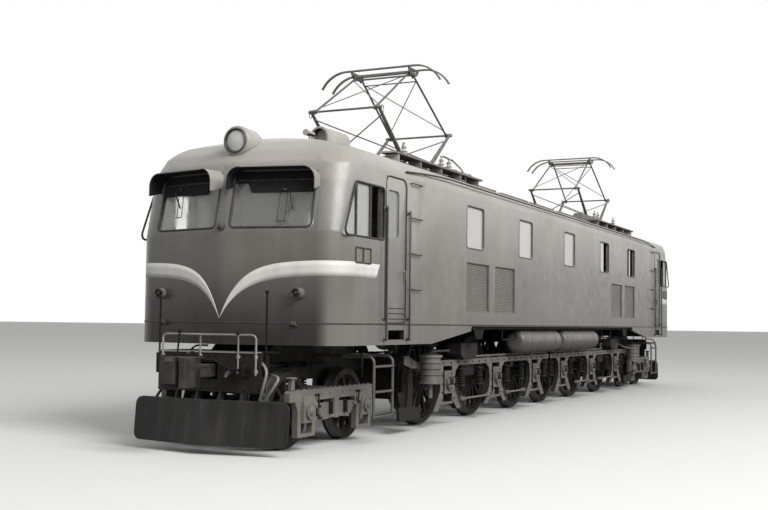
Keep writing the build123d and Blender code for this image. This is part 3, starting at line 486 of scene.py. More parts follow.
class NodeSketch:
    """A node tree of a material or a world, written as a few short steps."""

    def __init__(self, holder: bpy.types.Material | bpy.types.World, shader: str = "Principled BSDF") -> None:
        """Takes up a new node tree.

        Args:
            holder: The material or world.
            shader: Name of the shader node that the tree starts with.
        """
        holder.use_nodes = True
        self.nodes, self.links = holder.node_tree.nodes, holder.node_tree.links
        self.shader = self.nodes[shader]

    @cached_property
    def coordinates(self) -> Socket:
        """Object coordinates of the surface."""
        return self.node("TexCoord", "Object", {})

    def feed(self, socket: Socket, value: object) -> None:
        """Links an output to a socket, or sets the socket's value.

        Args:
            socket: The input socket.
            value: What it takes.
        """
        if isinstance(value, Socket):
            self.links.new(value, socket)
        else:
            socket.default_value = (*value, 1.0) if socket.type == "RGBA" else value

    def put(self, **values: object) -> None:
        """Feeds sockets of the shader, named with underscores for spaces."""
        for name, value in values.items():
            self.feed(self.shader.inputs[name.replace("_", " ")], value)

    def node(self, kind: str, output: str | int, inputs: dict[str | int, object], **settings: object) -> Socket:
        """Adds a node.

        Args:
            kind: Its type, without the part that all shader nodes share.
            output: The output that is wanted.
            inputs: Values or outputs for its input sockets.
            **settings: Values for its own properties.

        Returns:
            The wanted output.
        """
        made = self.nodes.new(f"ShaderNode{kind}")
        for name, value in settings.items():
            setattr(made, name, value)
        for key, value in inputs.items():
            self.feed(made.inputs[key], value)
        return made.outputs[output]

    def noise(self, scale: float, detail: float = 4.0, stretch: Point = (1, 1, 1), distortion: float = 0.0) -> Socket:
        """A noise value over the piece.

        Args:
            scale: Cells to the metre.
            detail: Levels of finer noise.
            stretch: Extra scale along each axis, below 1 for streaks.
            distortion: How far the cells are pulled about.

        Returns:
            The value's output.
        """
        place = self.node("Mapping", "Vector", {"Vector": self.coordinates, "Scale": stretch})
        return self.node("TexNoise", "Fac", {"Vector": place, "Scale": scale, "Detail": detail,
                                             "Distortion": distortion})

    def height(self, low: float, high: float) -> Socket:
        """A value that goes from 0 at the low height to 1 at the high one."""
        level = self.node("SeparateXYZ", "Z", {"Vector": self.coordinates})
        return self.ramp(level, low, high, 0.0, 1.0, "SMOOTHSTEP")

    def facing(self, axis: str, start: float, stop: float) -> Socket:
        """A value that goes from 0 to 1 as the surface turns to face along an axis."""
        normal = self.node("NewGeometry", "Normal", {})
        return self.ramp(self.node("SeparateXYZ", axis, {"Vector": normal}), start, stop, 0.0, 1.0)

    def facing_ends(self) -> Socket:
        """A value that is 1 where the surface looks forward or back and 0 where it looks sideways.

        Returns:
            The value's output.
        """
        normal = self.node("NewGeometry", "Normal", {})
        along = self.node("SeparateXYZ", "X", {"Vector": normal})
        return self.ramp(self.math("ABSOLUTE", along, 0.0), 0.55, 0.97, 0.0, 1.0)

    def ramp(self, value: Socket, start: float, stop: float, low: float, high: float, curve: str = "LINEAR") -> Socket:
        """A value carried from one range to another, and held at its ends."""
        return self.node("MapRange", "Result", {"Value": value, "From Min": start, "From Max": stop, "To Min": low,
                                                "To Max": high}, interpolation_type=curve)

    def math(self, kind: str, first: Socket, second: Socket | float) -> Socket:
        """A sum, product or other operation on two values."""
        return self.node("Math", "Value", {0: first, 1: second}, operation=kind)

    def blend(self, share: Socket, first: Socket | Colour, second: Socket | Colour) -> Socket:
        """The first colour where the share is 0, the second where it is 1."""
        return self.node("Mix", 2, {"Factor": share, 6: first, 7: second}, data_type="RGBA")

    def bump(self, value: Socket, strength: float, depth: float) -> None:
        """Raises the surface by the value, without moving it."""
        self.put(Normal=self.node("Bump", "Normal", {"Strength": strength, "Distance": depth, "Height": value}))


@dataclass(frozen=True)
class Finish(ABC):
    """A surface finish, made into a material when a piece first wears it."""

    name: str
    colour: Colour

    def material(self) -> bpy.types.Material:
        """The finish's material, made once.

        Returns:
            The material.
        """
        made = bpy.data.materials.get(self.name)
        if made is None:
            made = bpy.data.materials.new(self.name)
            self.draw(NodeSketch(made))
        return made

    @abstractmethod
    def draw(self, sketch: NodeSketch) -> None:
        """Writes the material's nodes."""


@dataclass(frozen=True)
class WeatheredPaint(Finish):
    """Paint with patches of uneven tone, run with rain and caught dust on what faces up; it can also carry a powdery
    fading mixed with painted sky sheen, and a darkening low on the ends.
    """

    dust: Colour = (0.30, 0.27, 0.22)
    dust_share: float = 0.35
    streaks: float = 0.35
    roughness: float = 0.45
    grain: float = 0.0008
    soot: float = 0.0
    fade_and_sheen: float = 0.0
    end_foot_darkening: float = 0.0
    gloss: float = 0.5

    def draw(self, sketch: NodeSketch) -> None:
        """Patches, powdery fading with painted sky sheen, streaks, darker low ends and dust over the base colour, with
        roughness and a faint unevenness.

        Args:
            sketch: Where the nodes go.
        """
        dark = tuple(0.88 * channel for channel in self.colour)
        light = tuple(min(1.0, 1.10 * channel + 0.003) for channel in self.colour)
        patches = sketch.ramp(sketch.noise(0.9, 6.0, distortion=0.4), 0.35, 0.68, 0.0, 1.0)
        colour = sketch.blend(patches, dark, light)
        # Powdery fading mixed with painted sky sheen: lighter towards the top, and on the sides more than on the ends.
        if self.fade_and_sheen:
            fading_and_sheen = sketch.math("ADD", sketch.height(2.0, 3.5), 0.16)
            fading_and_sheen = sketch.math("MULTIPLY", fading_and_sheen, sketch.ramp(patches, 0.0, 1.0, 0.7, 1.0))
            fading_and_sheen = sketch.math("MULTIPLY", fading_and_sheen, sketch.ramp(sketch.facing_ends(), 0.60, 1.0, 1.0, 0.40))
            colour = sketch.blend(sketch.math("MULTIPLY", fading_and_sheen, self.fade_and_sheen), colour, (0.46, 0.44, 0.40))
        runs = sketch.ramp(sketch.noise(7.0, 5.0, (1.0, 1.0, 0.07)), 0.47, 0.72, 0.0, self.streaks)
        colour = sketch.blend(runs, colour, self.dust)
        # Darker towards the bottom of the faces that look forward or back.
        if self.end_foot_darkening:
            low = sketch.math("SUBTRACT", sketch.ramp(sketch.noise(1.6), 0.3, 0.7, 0.95, 1.05),
                              sketch.height(1.25, 2.35))
            low = sketch.math("MULTIPLY", low, sketch.ramp(sketch.facing_ends(), 0.62, 1.0, 0.0, 1.0))
            colour = sketch.blend(sketch.math("MULTIPLY", low, self.end_foot_darkening), colour, (0.020, 0.018, 0.015))
        speckle = sketch.ramp(sketch.noise(46.0, 3.0), 0.62, 0.80, 0.0, 0.18 * self.dust_share)
        colour = sketch.blend(speckle, colour, self.dust)
        settled = sketch.math("MULTIPLY", sketch.facing("Z", 0.25, 0.95), self.dust_share)
        colour = sketch.blend(settled, colour, self.dust)
        if self.soot:
            stain = sketch.ramp(sketch.noise(2.6, 6.0, (1.0, 1.0, 0.5)), 0.50, 0.72, 0.0, self.soot)
            colour = sketch.blend(stain, colour, (0.02, 0.018, 0.016))
        rough = sketch.ramp(sketch.noise(5.0, 5.0), 0.3, 0.7, self.roughness - 0.05, self.roughness + 0.08)
        sketch.put(Base_Color=colour, Roughness=rough, Specular_IOR_Level=self.gloss)
        if self.grain:
            sketch.bump(sketch.noise(3.0, 5.0), 0.25, self.grain)


@dataclass(frozen=True)
class OilyIron(Finish):
    """Cast iron and steel of the running gear, under oil, brake dust and road dirt."""

    dirt: Colour = (0.115, 0.098, 0.078)
    dirt_share: float = 0.6
    roughness: float = 0.55
    metallic: float = 0.25

    def draw(self, sketch: NodeSketch) -> None:
        """Dirt in patches and thicker near the ground, oily where it is dark.

        Args:
            sketch: Where the nodes go.
        """
        patches = sketch.ramp(sketch.noise(5.5, 7.0, distortion=0.6), 0.40, 0.66, 0.0, self.dirt_share)
        low = sketch.ramp(sketch.height(0.15, 1.1), 0.0, 1.0, 0.55, 0.0)
        share = sketch.math("MAXIMUM", patches, sketch.math("MULTIPLY", low, sketch.noise(9.0)))
        share = sketch.math("MAXIMUM", share, sketch.math("MULTIPLY", sketch.facing("Z", 0.25, 0.95), 0.75))
        rust = sketch.ramp(sketch.noise(17.0, 6.0), 0.60, 0.80, 0.0, 0.5)
        sketch.put(Base_Color=sketch.blend(rust, sketch.blend(share, self.colour, self.dirt), (0.12, 0.072, 0.045)),
                   Metallic=self.metallic,
                   Roughness=sketch.ramp(share, 0.0, 0.8, self.roughness - 0.15, self.roughness + 0.3))
        sketch.bump(sketch.noise(60.0, 5.0), 0.5, 0.002)


@dataclass(frozen=True)
class BareMetal(Finish):
    """Plated or worn metal, with finger marks and light scratches in its gloss."""

    roughness: float = 0.3
    scratch: float = 0.15

    def draw(self, sketch: NodeSketch) -> None:
        """Slight changes of colour and gloss over a metal surface.

        Args:
            sketch: Where the nodes go.
        """
        dull = tuple(0.6 * channel for channel in self.colour)
        marks = sketch.ramp(sketch.noise(14.0, 6.0), 0.40, 0.70, 0.0, 0.8)
        fine = sketch.noise(90.0, 3.0, (1.0, 0.2, 1.0))
        sketch.put(Base_Color=sketch.blend(marks, self.colour, dull), Metallic=0.85,
                   Roughness=sketch.ramp(fine, 0.3, 0.7, self.roughness, self.roughness + self.scratch))
        sketch.bump(fine, 0.2, 0.0004)


@dataclass(frozen=True)
class SheetGlass(Finish):
    """Window glass under a film of dust."""

    roughness: float = 0.03
    transmission: float = 0.9
    film: float = 0.12
    haze: float = 0.25

    def draw(self, sketch: NodeSketch) -> None:
        """Glass with a thin film of dust that is cloudy in patches.

        Args:
            sketch: Where the nodes go.
        """
        cloud = sketch.ramp(sketch.noise(4.0, 6.0), 0.35, 0.75, 0.0, self.film)
        sketch.put(Base_Color=sketch.blend(cloud, self.colour, (0.62, 0.60, 0.56)),
                   Transmission_Weight=self.transmission, IOR=1.45,
                   Roughness=sketch.ramp(cloud, 0.0, 0.3, self.roughness, self.roughness + self.haze))


@dataclass(frozen=True)
class Glaze(Finish):
    """Glazed porcelain, smooth, with grime in patches."""

    def draw(self, sketch: NodeSketch) -> None:
        """A glossy coat over a body colour that grime has darkened.

        Args:
            sketch: Where the nodes go.
        """
        grime = sketch.ramp(sketch.noise(11.0, 5.0), 0.42, 0.70, 0.0, 0.6)
        sketch.put(Base_Color=sketch.blend(grime, self.colour, (0.05, 0.042, 0.035)),
                   Roughness=sketch.ramp(grime, 0.0, 0.6, 0.12, 0.5), Coat_Weight=0.4)


@dataclass(frozen=True)
class Rubber(Finish):
    """Black rubber of the window seals, dusty and slightly cracked."""

    def draw(self, sketch: NodeSketch) -> None:
        """Dust over black, with fine cracks.

        Args:
            sketch: Where the nodes go.
        """
        dust = sketch.ramp(sketch.noise(20.0, 5.0), 0.45, 0.75, 0.0, 0.5)
        sketch.put(Base_Color=sketch.blend(dust, self.colour, (0.16, 0.15, 0.13)),
                   Roughness=sketch.ramp(dust, 0.0, 0.5, 0.55, 0.85))
        sketch.bump(sketch.noise(140.0, 3.0), 0.4, 0.0006)


# The body paint is lightened towards the top and on the sides by painted sky sheen, and darker low on the ends.
BODY_PAINT = WeatheredPaint("body paint", (0.118, 0.109, 0.095), dust=(0.33, 0.31, 0.27), dust_share=0.30,
                            streaks=0.10, roughness=0.30, fade_and_sheen=0.78, end_foot_darkening=1.0)
ROOF_PAINT = WeatheredPaint("roof paint", (0.400, 0.375, 0.330), dust=(0.36, 0.34, 0.30), dust_share=0.40,
                            streaks=0.15, roughness=0.50, soot=0.22)
SEAM_PAINT = WeatheredPaint("seam paint", (0.030, 0.027, 0.023), dust_share=0.15, streaks=0.1, roughness=0.6)
BAND_PAINT = WeatheredPaint("white band paint", (0.70, 0.69, 0.65), dust=(0.36, 0.33, 0.28), dust_share=0.12,
                            streaks=0.16, roughness=0.45, grain=0.0)
# Near-black paint for painted shade: inside the visor hoods, on the boards under them and under the roof hoods.
SHADE_BLACK = WeatheredPaint("painted shade black", (0.004, 0.004, 0.004), dust=(0.02, 0.018, 0.016),
                              dust_share=0.2, streaks=0.1, roughness=0.9)
LADDER_PAINT = WeatheredPaint("ladder paint", (0.090, 0.083, 0.073), dust=(0.22, 0.20, 0.17), dust_share=0.4,
                              streaks=0.2, roughness=0.5)
WEATHERED_WHITE = WeatheredPaint("weathered rail paint", (0.30, 0.28, 0.25), dust=(0.10, 0.09, 0.075),
                                 dust_share=0.5, streaks=0.4, roughness=0.5)
# Near-black paint for painted shade on the inner faces of the side walls, seen through open windows.
INTERIOR_SHADE = WeatheredPaint("painted interior shade", (0.010, 0.010, 0.009), dust=(0.03, 0.028, 0.025),
                               dust_share=0.3, streaks=0.1, roughness=0.7)
LAMP_WHITE = WeatheredPaint("lamp silver", (0.78, 0.78, 0.76), dust=(0.5, 0.5, 0.48), dust_share=0.1,
                            streaks=0.05, roughness=0.2, grain=0.0)
FRAME_PAINT = WeatheredPaint("frame paint", (0.006, 0.0055, 0.005), dust=(0.05, 0.045, 0.038), dust_share=0.30,
                             streaks=0.10, roughness=0.60, grain=0.002, gloss=0.15)
PLOUGH_PAINT = WeatheredPaint("plough paint", (0.012, 0.0115, 0.011), dust=(0.10, 0.093, 0.080), dust_share=0.4,
                              streaks=0.24, roughness=0.50, grain=0.003, gloss=0.3)
SEAL_PAINT = WeatheredPaint("window frame paint", (0.120, 0.111, 0.097), dust_share=0.3, streaks=0.1,
                            roughness=0.5, grain=0.0)
RACK_PAINT = WeatheredPaint("roof rack paint", (0.180, 0.169, 0.150), dust=(0.30, 0.28, 0.24), dust_share=0.45,
                            streaks=0.2, roughness=0.6, soot=0.3)
TANK_PAINT = WeatheredPaint("tank paint", (0.100, 0.094, 0.083), dust=(0.28, 0.26, 0.22), dust_share=0.40,
                            streaks=0.12, roughness=0.38)
MACHINERY_PAINT = WeatheredPaint("machinery paint", (0.035, 0.035, 0.033), dust=(0.06, 0.056, 0.05),
                                 streaks=0.1)
INTERIOR_PAINT = WeatheredPaint("interior paint", (0.30, 0.31, 0.27), dust_share=0.1, streaks=0.05)
INTAKE_PAINT = WeatheredPaint("intake paint", (0.130, 0.118, 0.102), dust=(0.24, 0.22, 0.19), dust_share=0.3,
                              streaks=0.08, roughness=0.42)
RAIL_PAINT = WeatheredPaint("handrail paint", (0.030, 0.027, 0.024), dust_share=0.25, roughness=0.35, grain=0.0)
GEAR_IRON = OilyIron("running gear iron", (0.008, 0.007, 0.006), dirt=(0.030, 0.026, 0.021), roughness=0.7)
SIDE_IRON = OilyIron("truck side iron", (0.125, 0.116, 0.102), dirt=(0.23, 0.212, 0.178), dirt_share=0.55,
                     roughness=0.5, metallic=0.1)
LEAD_IRON = OilyIron("leading truck iron", (0.145, 0.134, 0.118), dirt=(0.25, 0.231, 0.194), dirt_share=0.55,
                     roughness=0.5, metallic=0.1)
WHEEL_STEEL = OilyIron("wheel steel", (0.016, 0.014, 0.012), dirt=(0.045, 0.039, 0.031), roughness=0.65)
TREAD_STEEL = BareMetal("tread steel", (0.36, 0.34, 0.31), roughness=0.32)
COUPLER_STEEL = OilyIron("coupler steel", (0.028, 0.025, 0.021), dirt=(0.075, 0.066, 0.054), metallic=0.3)
PANTOGRAPH_STEEL = BareMetal("pantograph steel", (0.210, 0.200, 0.182), roughness=0.42)
STRIP_METAL = BareMetal("contact strip metal", (0.20, 0.17, 0.13), roughness=0.35)
RIM_METAL = BareMetal("lamp rim metal", (0.085, 0.080, 0.072), roughness=0.35)
BRIGHT_METAL = BareMetal("bright metal", (0.45, 0.43, 0.39), roughness=0.25)
CLEAR_GLASS = SheetGlass("window glass", (0.90, 0.91, 0.88), film=0.22)
CLOUDY_GLASS = WeatheredPaint("cloudy pane", (0.52, 0.51, 0.48), dust=(0.36, 0.34, 0.30), dust_share=0.2,
                              streaks=0.15, roughness=0.12, grain=0.0)
DUSTY_GLASS = SheetGlass("dusty cab glass", (0.60, 0.61, 0.58), transmission=0.45, film=0.3, haze=0.02)
DOOR_GLASS = SheetGlass("door glass", (0.42, 0.42, 0.40), transmission=0.45, film=0.3, haze=0.02)
LENS_GLASS = SheetGlass("lamp glass", (0.93, 0.93, 0.90), roughness=0.05, transmission=0.5, film=0.05)
MARKER_GLASS = SheetGlass("marker lamp glass", (0.045, 0.009, 0.007), roughness=0.08, transmission=0.2, film=0.04)
PORCELAIN = Glaze("insulator porcelain", (0.52, 0.49, 0.44))
SEAL_RUBBER = Rubber("seal rubber", (0.016, 0.016, 0.015))


class Wardrobe:
    """Puts pieces into the scene: copies of the CAD nodes with smooth shading, and new surfaces."""

    sharp_edge: float = 32.0
    bevel_edge: float = 40.0

    def __init__(self) -> None:
        """Reads which body and material slot each CAD node belongs to."""
        record = frame["record"]
        bodies = record["behaviour"]["bodies"].items()
        self.body_of = {node: body for body, nodes in bodies for node in nodes}
        self.slot_of = {part["node"]: part["material_slot"] for part in record["subparts"]}

    def placed(self, name: str, mesh: bpy.types.Mesh, finish: Finish, body: str, slot: str) -> bpy.types.Object:
        """An object for a finished mesh, with its material, body and slot.

        Args:
            name: Name of the object.
            mesh: Its mesh.
            finish: What it wears.
            body: CAD body that carries it.
            slot: Material slot in the record.

        Returns:
            The object.
        """
        mesh.materials.clear()
        mesh.materials.append(finish.material())
        piece = bpy.data.objects.new(name, mesh)
        bpy.context.scene.collection.objects.link(piece)
        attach(piece, body)
        return piece

    def skin(self, node: str, finish: Finish, edge: float = 0.0) -> bpy.types.Object:
        """A copy of a CAD node with its loose triangles merged, its edges softened and its finish on.

        Args:
            node: Name of the CAD node that the copy stands for.
            finish: What it wears.
            edge: Width of the softened edges, or none at 0.

        Returns:
            The piece.
        """
        work = bmesh.new()
        work.from_mesh(frame["nodes"][node].data)
        bmesh.ops.remove_doubles(work, verts=work.verts, dist=2e-5)
        if edge:
            bmesh.ops.dissolve_limit(work, angle_limit=math.radians(0.4), verts=work.verts, edges=work.edges)
        mesh = bpy.data.meshes.new(f"{node}_skin")
        work.to_mesh(mesh)
        work.free()
        mesh.shade_smooth()
        mesh.set_sharp_from_angle(angle=math.radians(self.sharp_edge))
        piece = self.placed(f"{node}_skin", mesh, finish, self.body_of[node], self.slot_of[node])
        if edge:
            bevel = piece.modifiers.new("softened edges", "BEVEL")
            bevel.width = edge
            bevel.segments = 2
            bevel.limit_method = "ANGLE"
            bevel.angle_limit = math.radians(self.bevel_edge)
            bevel.harden_normals = True
        else:
            piece.modifiers.new("flat faces first", "WEIGHTED_NORMAL").keep_sharp = True
        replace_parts(piece, node)
        return piece

    def paint(self, node: str, finish: Finish) -> None:
        """Puts a finish on a CAD node that stays as it is.

        Args:
            node: Name of the CAD node.
            finish: What it wears.
        """
        mesh = frame["nodes"][node].data
        mesh.materials.clear()
        mesh.materials.append(finish.material())

    def recoat(self, piece: bpy.types.Object, finish: Finish, rule: FaceRule) -> None:
        """Puts a further finish on the faces that a rule picks.

        Args:
            piece: The piece.
            finish: What those faces wear.
            rule: Takes the centres and normals of the faces, and says which of them change.
        """
        faces = piece.data.polygons
        piece.data.materials.append(finish.material())
        centre, normal, present = np.empty(3 * len(faces)), np.empty(3 * len(faces)), np.empty(len(faces), np.int32)
        for name, values in (("center", centre), ("normal", normal), ("material_index", present)):
            faces.foreach_get(name, values)
        chosen = rule(centre.reshape(-1, 3), normal.reshape(-1, 3))
        last = len(piece.data.materials) - 1
        faces.foreach_set("material_index", np.where(chosen, last, present).astype(np.int32))

    def piece(self, name: str, patch: Patch, finish: Finish, body: str, slot: str,
              shading: Shading = Shading.EDGED) -> bpy.types.Object:
        """A new piece from a surface.

        Args:
            name: Name of the piece.
            patch: Its surface, with heights above the rail top.
            finish: What it wears.
            body: CAD body that carries it.
            slot: Material slot in the record.
            shading: How its faces are shaded.

        Returns:
            The piece.
        """
        mesh = bpy.data.meshes.new(name)
        faces = patch.quads.tolist() + [lid.tolist() for lid in patch.lids]
        mesh.from_pydata((patch.points + (0.0, 0.0, FLANGE)).tolist(), [], faces)
        work = bmesh.new()
        work.from_mesh(mesh)
        bmesh.ops.recalc_face_normals(work, faces=work.faces)
        work.to_mesh(mesh)
        work.free()
        mesh.shade_smooth()
        mesh.set_sharp_from_angle(angle=math.radians(shading.value))
        return self.placed(name, mesh, finish, body, slot)


WARDROBE = Wardrobe()


@dataclass
class SubAssembly(ABC):
    """A part of the locomotive that is dressed by itself."""

    pieces: list[bpy.types.Object] = field(default_factory=list, init=False)

    @abstractmethod
    def dress(self) -> None:
        """Puts finishes on the CAD nodes of this part."""

    @abstractmethod
    def build(self) -> None:
        """Makes the new pieces of this part."""

    def skin(self, node: str, finish: Finish, *coats: tuple[Finish, FaceRule], edge: float = 0.0) -> None:
        """Adds a copy of a CAD node, with further coats on the faces that their rules pick.

        Args:
            node: Name of the CAD node.
            finish: What it wears.
            *coats: Further finishes, each with the rule for its faces.
            edge: Width of the softened edges.
        """
        piece = WARDROBE.skin(node, finish, edge)
        for coat, rule in coats:
            WARDROBE.recoat(piece, coat, rule)
        self.pieces.append(piece)

    def add(self, name: str, patch: Patch, finish: Finish, slot: str, shading: Shading = Shading.EDGED,
            body: str = Place.CARBODY.value) -> bpy.types.Object:
        """Adds a new piece, which rides on the vehicle's body unless another one is named."""
        self.pieces.append(WARDROBE.piece(name, patch, finish, body, slot, shading))
        return self.pieces[-1]

    def add_ends(self, name: str, patch: Patch, finish: Finish, place: Place, slot: str,
                 shading: Shading = Shading.EDGED) -> None:
        """Adds a piece at the front end and its like, turned half round, at the rear end.

        Args:
            name: Name of the pair.
            patch: Surface at the front end.
            finish: What both wear.
            place: The kind of body that carries them.
            slot: Material slot in the record.
            shading: How their faces are shaded.
        """
        for end, surface in zip(ENDS, (patch, patch.half_turned())):
            self.add(f"{name}_{end}", surface, finish, slot, shading, place.at(end))

    def wheelset(self, node: str) -> None:
        """Adds a wheelset whose treads are worn bright.

        The axle runs through the middle of the node's box; a face belongs to the tread where it is near
        the rim and looks straight away from the axle.

        Args:
            node: The wheelset's CAD node.
        """
        low, high = (np.array(corner)[[ALONG, UP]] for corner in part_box(node))
        inner = (high[1] - low[1]) / 2 - 0.06

        def on_tread(centre: Array, normal: Array) -> Array:
            """Which faces are worn by the rail.

            Args:
                centre: Centres of the faces.
                normal: Their normals.

            Returns:
                A yes or no for each face.
            """
            spoke = centre[:, [ALONG, UP]] - (low + high) / 2
            reach = np.linalg.norm(spoke, axis=1)
            away = (spoke * normal[:, [ALONG, UP]]).sum(axis=1) / np.maximum(reach, 1e-9)
            return (reach > inner) & (away > 0.85)

        self.skin(node, WHEEL_STEEL, (TREAD_STEEL, on_tread))

    def make(self) -> None:
        """Dresses and builds the part, and reports its pieces."""
        self.dress()
        self.build()
        for piece in self.pieces:
            LOG.info("%s: %s with %d faces", type(self).__name__, piece.name, len(piece.data.polygons))


# Sub-assemblies


def faces_inward(centre: Array, normal: Array) -> Array:
    """Which faces are the inside of a side wall: behind the skin, and looking at the middle plane."""
    return (np.abs(centre[:, 1]) < BODY_HALF_WIDTH - 0.004) & (normal[:, 1] * np.sign(centre[:, 1]) < -0.5)


@dataclass
class BodyShell(SubAssembly):
    """The sheet-metal body: cabs, side walls, roof and doors, with what is fixed to its skin."""

    band_level: Pair = (1.945, 2.115)
    band_tip: float = 1.459
    band_fall: Pair = (0.26, 0.23)
    band_end: Pair = (7.91, 7.81)
    band_least: float = 0.004
    seam_z: Pair = (1.408, 1.424)
    gutter_front: Pair = (7.10, 3.300)
    gutter_rear: Pair = (5.70, 3.375)
    gutter_radius: float = 0.012
    card_x: tuple[float, float, float, float] = (8.06, 8.244, 8.256, 8.44)
    card_z: Pair = (2.11, 2.28)
    rung_x: Pair = (6.67, 6.96)
    rung_z: tuple[float, ...] = (3.17, 2.735, 2.29, 1.85)
    rung_reach: Pair = (-0.002, 0.040)
    intake_x: tuple[float, ...] = (-4.590, -3.440, 3.440, 4.590)
    intake_size: Pair = (0.900, 0.690)
    intake_z: float = 1.950
    intake_depth: float = 0.020
    intake_slats: int = 30
    hood_axis: Pair = (0.582, 2.950)
    door_x: Pair = (7.076, 7.659)
    door_z: Pair = (1.426, 3.194)
    pane_depth: Pair = (0.020, 0.042)
    pane_z: Pair = (2.46, 3.08)
    rib_x: Pair = (7.106, 7.629)
    rib_z: tuple[float, ...] = (1.480, 1.545, 1.608)
    rib_depth: float = 0.006

    def dress(self) -> None:
        """Smooth painted copies of the shell's panels and doors, with painted shade on the inner wall faces and inside
        the visors; machinery, cab fittings and underframe painted.
        """
        for node in ("cab_front", "cab_rear", "side_wall_left", "side_wall_right"):
            # The inner faces of the walls are near black: painted shade inside the body.
            self.skin(node, BODY_PAINT, (INTERIOR_SHADE, faces_inward))
        for end in ENDS:
            for side in ("left", "right"):
                self.skin(f"door_{end}_{side}", BODY_PAINT, (DOOR_GLASS, self.door_pane))
        self.skin("roof", ROOF_PAINT)
        # The inside of each visor hood wears near-black painted shade.
        self.skin("visors", BODY_PAINT, (SHADE_BLACK, self.inside_hood))
        for node, finish in (("underframe", FRAME_PAINT), ("machinery_block", MACHINERY_PAINT),
                             ("cab_fittings", INTERIOR_PAINT)):
            WARDROBE.paint(node, finish)

    def inside_hood(self, centre: Array, normal: Array) -> Array:
        """Which faces of the visors look at the line that runs through the middle of their hood; these take painted
        shade.

        Args:
            centre: Centres of the faces.
            normal: Their normals.

        Returns:
            A yes or no for each face.
        """
        y, z = self.hood_axis
        across = np.sign(centre[:, 1]) * y - centre[:, 1]
        return across * normal[:, 1] + (z + FLANGE - centre[:, 2]) * normal[:, 2] > 0.02

    def door_pane(self, centre: Array, normal: Array) -> Array:
        """Which faces of a door are its glass, which stands behind the leaf's outer face.

        Args:
            centre: Centres of the faces.
            normal: Their normals.

        Returns:
            A yes or no for each face.
        """
        depth = BODY_HALF_WIDTH - np.abs(centre[:, 1])
        within = [(values > low) & (values < high) for values, (low, high) in
                  ((depth, self.pane_depth), (centre[:, 2], self.pane_z))]
        return within[0] & within[1] & (np.abs(normal[:, 1]) > 0.9)

    def door_seals(self) -> Patch:
        """A dark seal on the body round each door, with round upper corners."""
        return all_corners(upright_loop(rectangle(self.door_x, self.door_z), BODY_HALF_WIDTH, 0.10, 0.008))

    def door_ribs(self) -> Patch:
        """Three thin ribs across the foot of the front left door."""
        y = BODY_HALF_WIDTH - self.rib_depth
        return joined([tube([(x, y, z) for x in self.rib_x], 0.006, 8) for z in self.rib_z])

    def band(self) -> Patch:
        """The painted band: level along the side and the nose, falling to a point in the middle.

        Each edge leaves its level by a share that shrinks by the same factor for each step away from
        the middle, and on the side the band ends in a slant.

        Returns:
            The bands at both ends.
        """
        def edge(level: float, fall: float, y: Array) -> Array:
            """Height of an edge at a distance from the middle."""
            return level - (level - self.band_tip) * np.exp(-y / fall)

        (low, high), (low_fall, high_fall) = self.band_level, self.band_fall
        return both_ends(hull_strip(
            self.band_end, lambda y: edge(low, low_fall, y),
            lambda y: np.maximum(edge(high, high_fall, y), edge(low, low_fall, y) + self.band_least), 0.0015))

    def seam(self) -> Patch:
        """The lap seam that runs round the whole body above the skirt."""
        low, high = self.seam_z
        return both_ends(hull_strip((0.0, 0.0), lambda y: low + 0 * y, lambda y: high + 0 * y, 0.005, steps=500))

    def gutter(self) -> Patch:
        """A drip rail over the side of each wall: a thin bar that drops toward both cabs.

        Returns:
            The rails on both sides.
        """
        (front_x, front_z), (rear_x, rear_z) = self.gutter_front, self.gutter_rear
        x = np.concatenate((-np.linspace(front_x, rear_x, 30), np.linspace(rear_x, front_x, 30)))
        z = rear_z - (rear_z - front_z) * ((np.abs(x) - rear_x) / (front_x - rear_x)) ** 1.5
        path = np.column_stack((x, np.full_like(x, BODY_HALF_WIDTH + 0.002), z))
        return both_sides(tube(path, self.gutter_radius, 8, normal=(0, 0, 1)))

    def cards(self) -> Patch:
        """Two small blank frames on the cab side above the band.

        Returns:
            The frames at all four corners.
        """
        spans = (self.card_x[:2], self.card_x[2:])
        return all_corners(*(upright_loop(rectangle(span, self.card_z), BODY_HALF_WIDTH + 0.002, 0.012, 0.010)
                             for span in spans))

    def rungs(self) -> Patch:
        """The four short grab bars behind each door, on two feet each.

        Returns:
            The bars at all four corners.
        """
        x0, x1 = self.rung_x
        sunk, out = (BODY_HALF_WIDTH + reach for reach in self.rung_reach)
        return all_corners(*(bent([(x0, sunk, z), (x0, out, z), (x1, out, z), (x1, sunk, z)], 0.025, 0.010,
                                  normal=(0, 0, 1)) for z in self.rung_z))

    def intakes(self) -> Patch:
        """Fine slats in the air intakes: a saw-toothed section, run along each opening, in a round frame.

        In every pitch the section slopes out over most of the height and steps back.

        Returns:
            The panels on both sides.
        """
        half, tall = (size / 2 for size in self.intake_size)
        count = self.intake_slats
        pitch = 2 * tall / count
        face = BODY_HALF_WIDTH - self.intake_depth
        z = (np.arange(count)[:, None] * pitch - tall + pitch * np.array((0.0, 0.10, 0.90, 1.0))).ravel()
        y = np.tile(np.array((face - 0.006, face, face - 0.003, face - 0.006)), count)
        section = np.column_stack((np.append(y, (face - 0.018,) * 2), np.append(z, (tall, -tall))))
        panel = grid(np.stack([np.insert(section, 0, x, axis=1) for x in (-half, half)]), wrap_columns=True, lids=True)
        span, rise = ((-size + 0.004, size - 0.004) for size in (half, tall))
        rim = upright_loop(rectangle(span, rise), BODY_HALF_WIDTH - 0.012, 0.05, 0.009)
        return both_sides(stamped(joined((panel, rim)), [(x, 0.0, self.intake_z) for x in self.intake_x]))

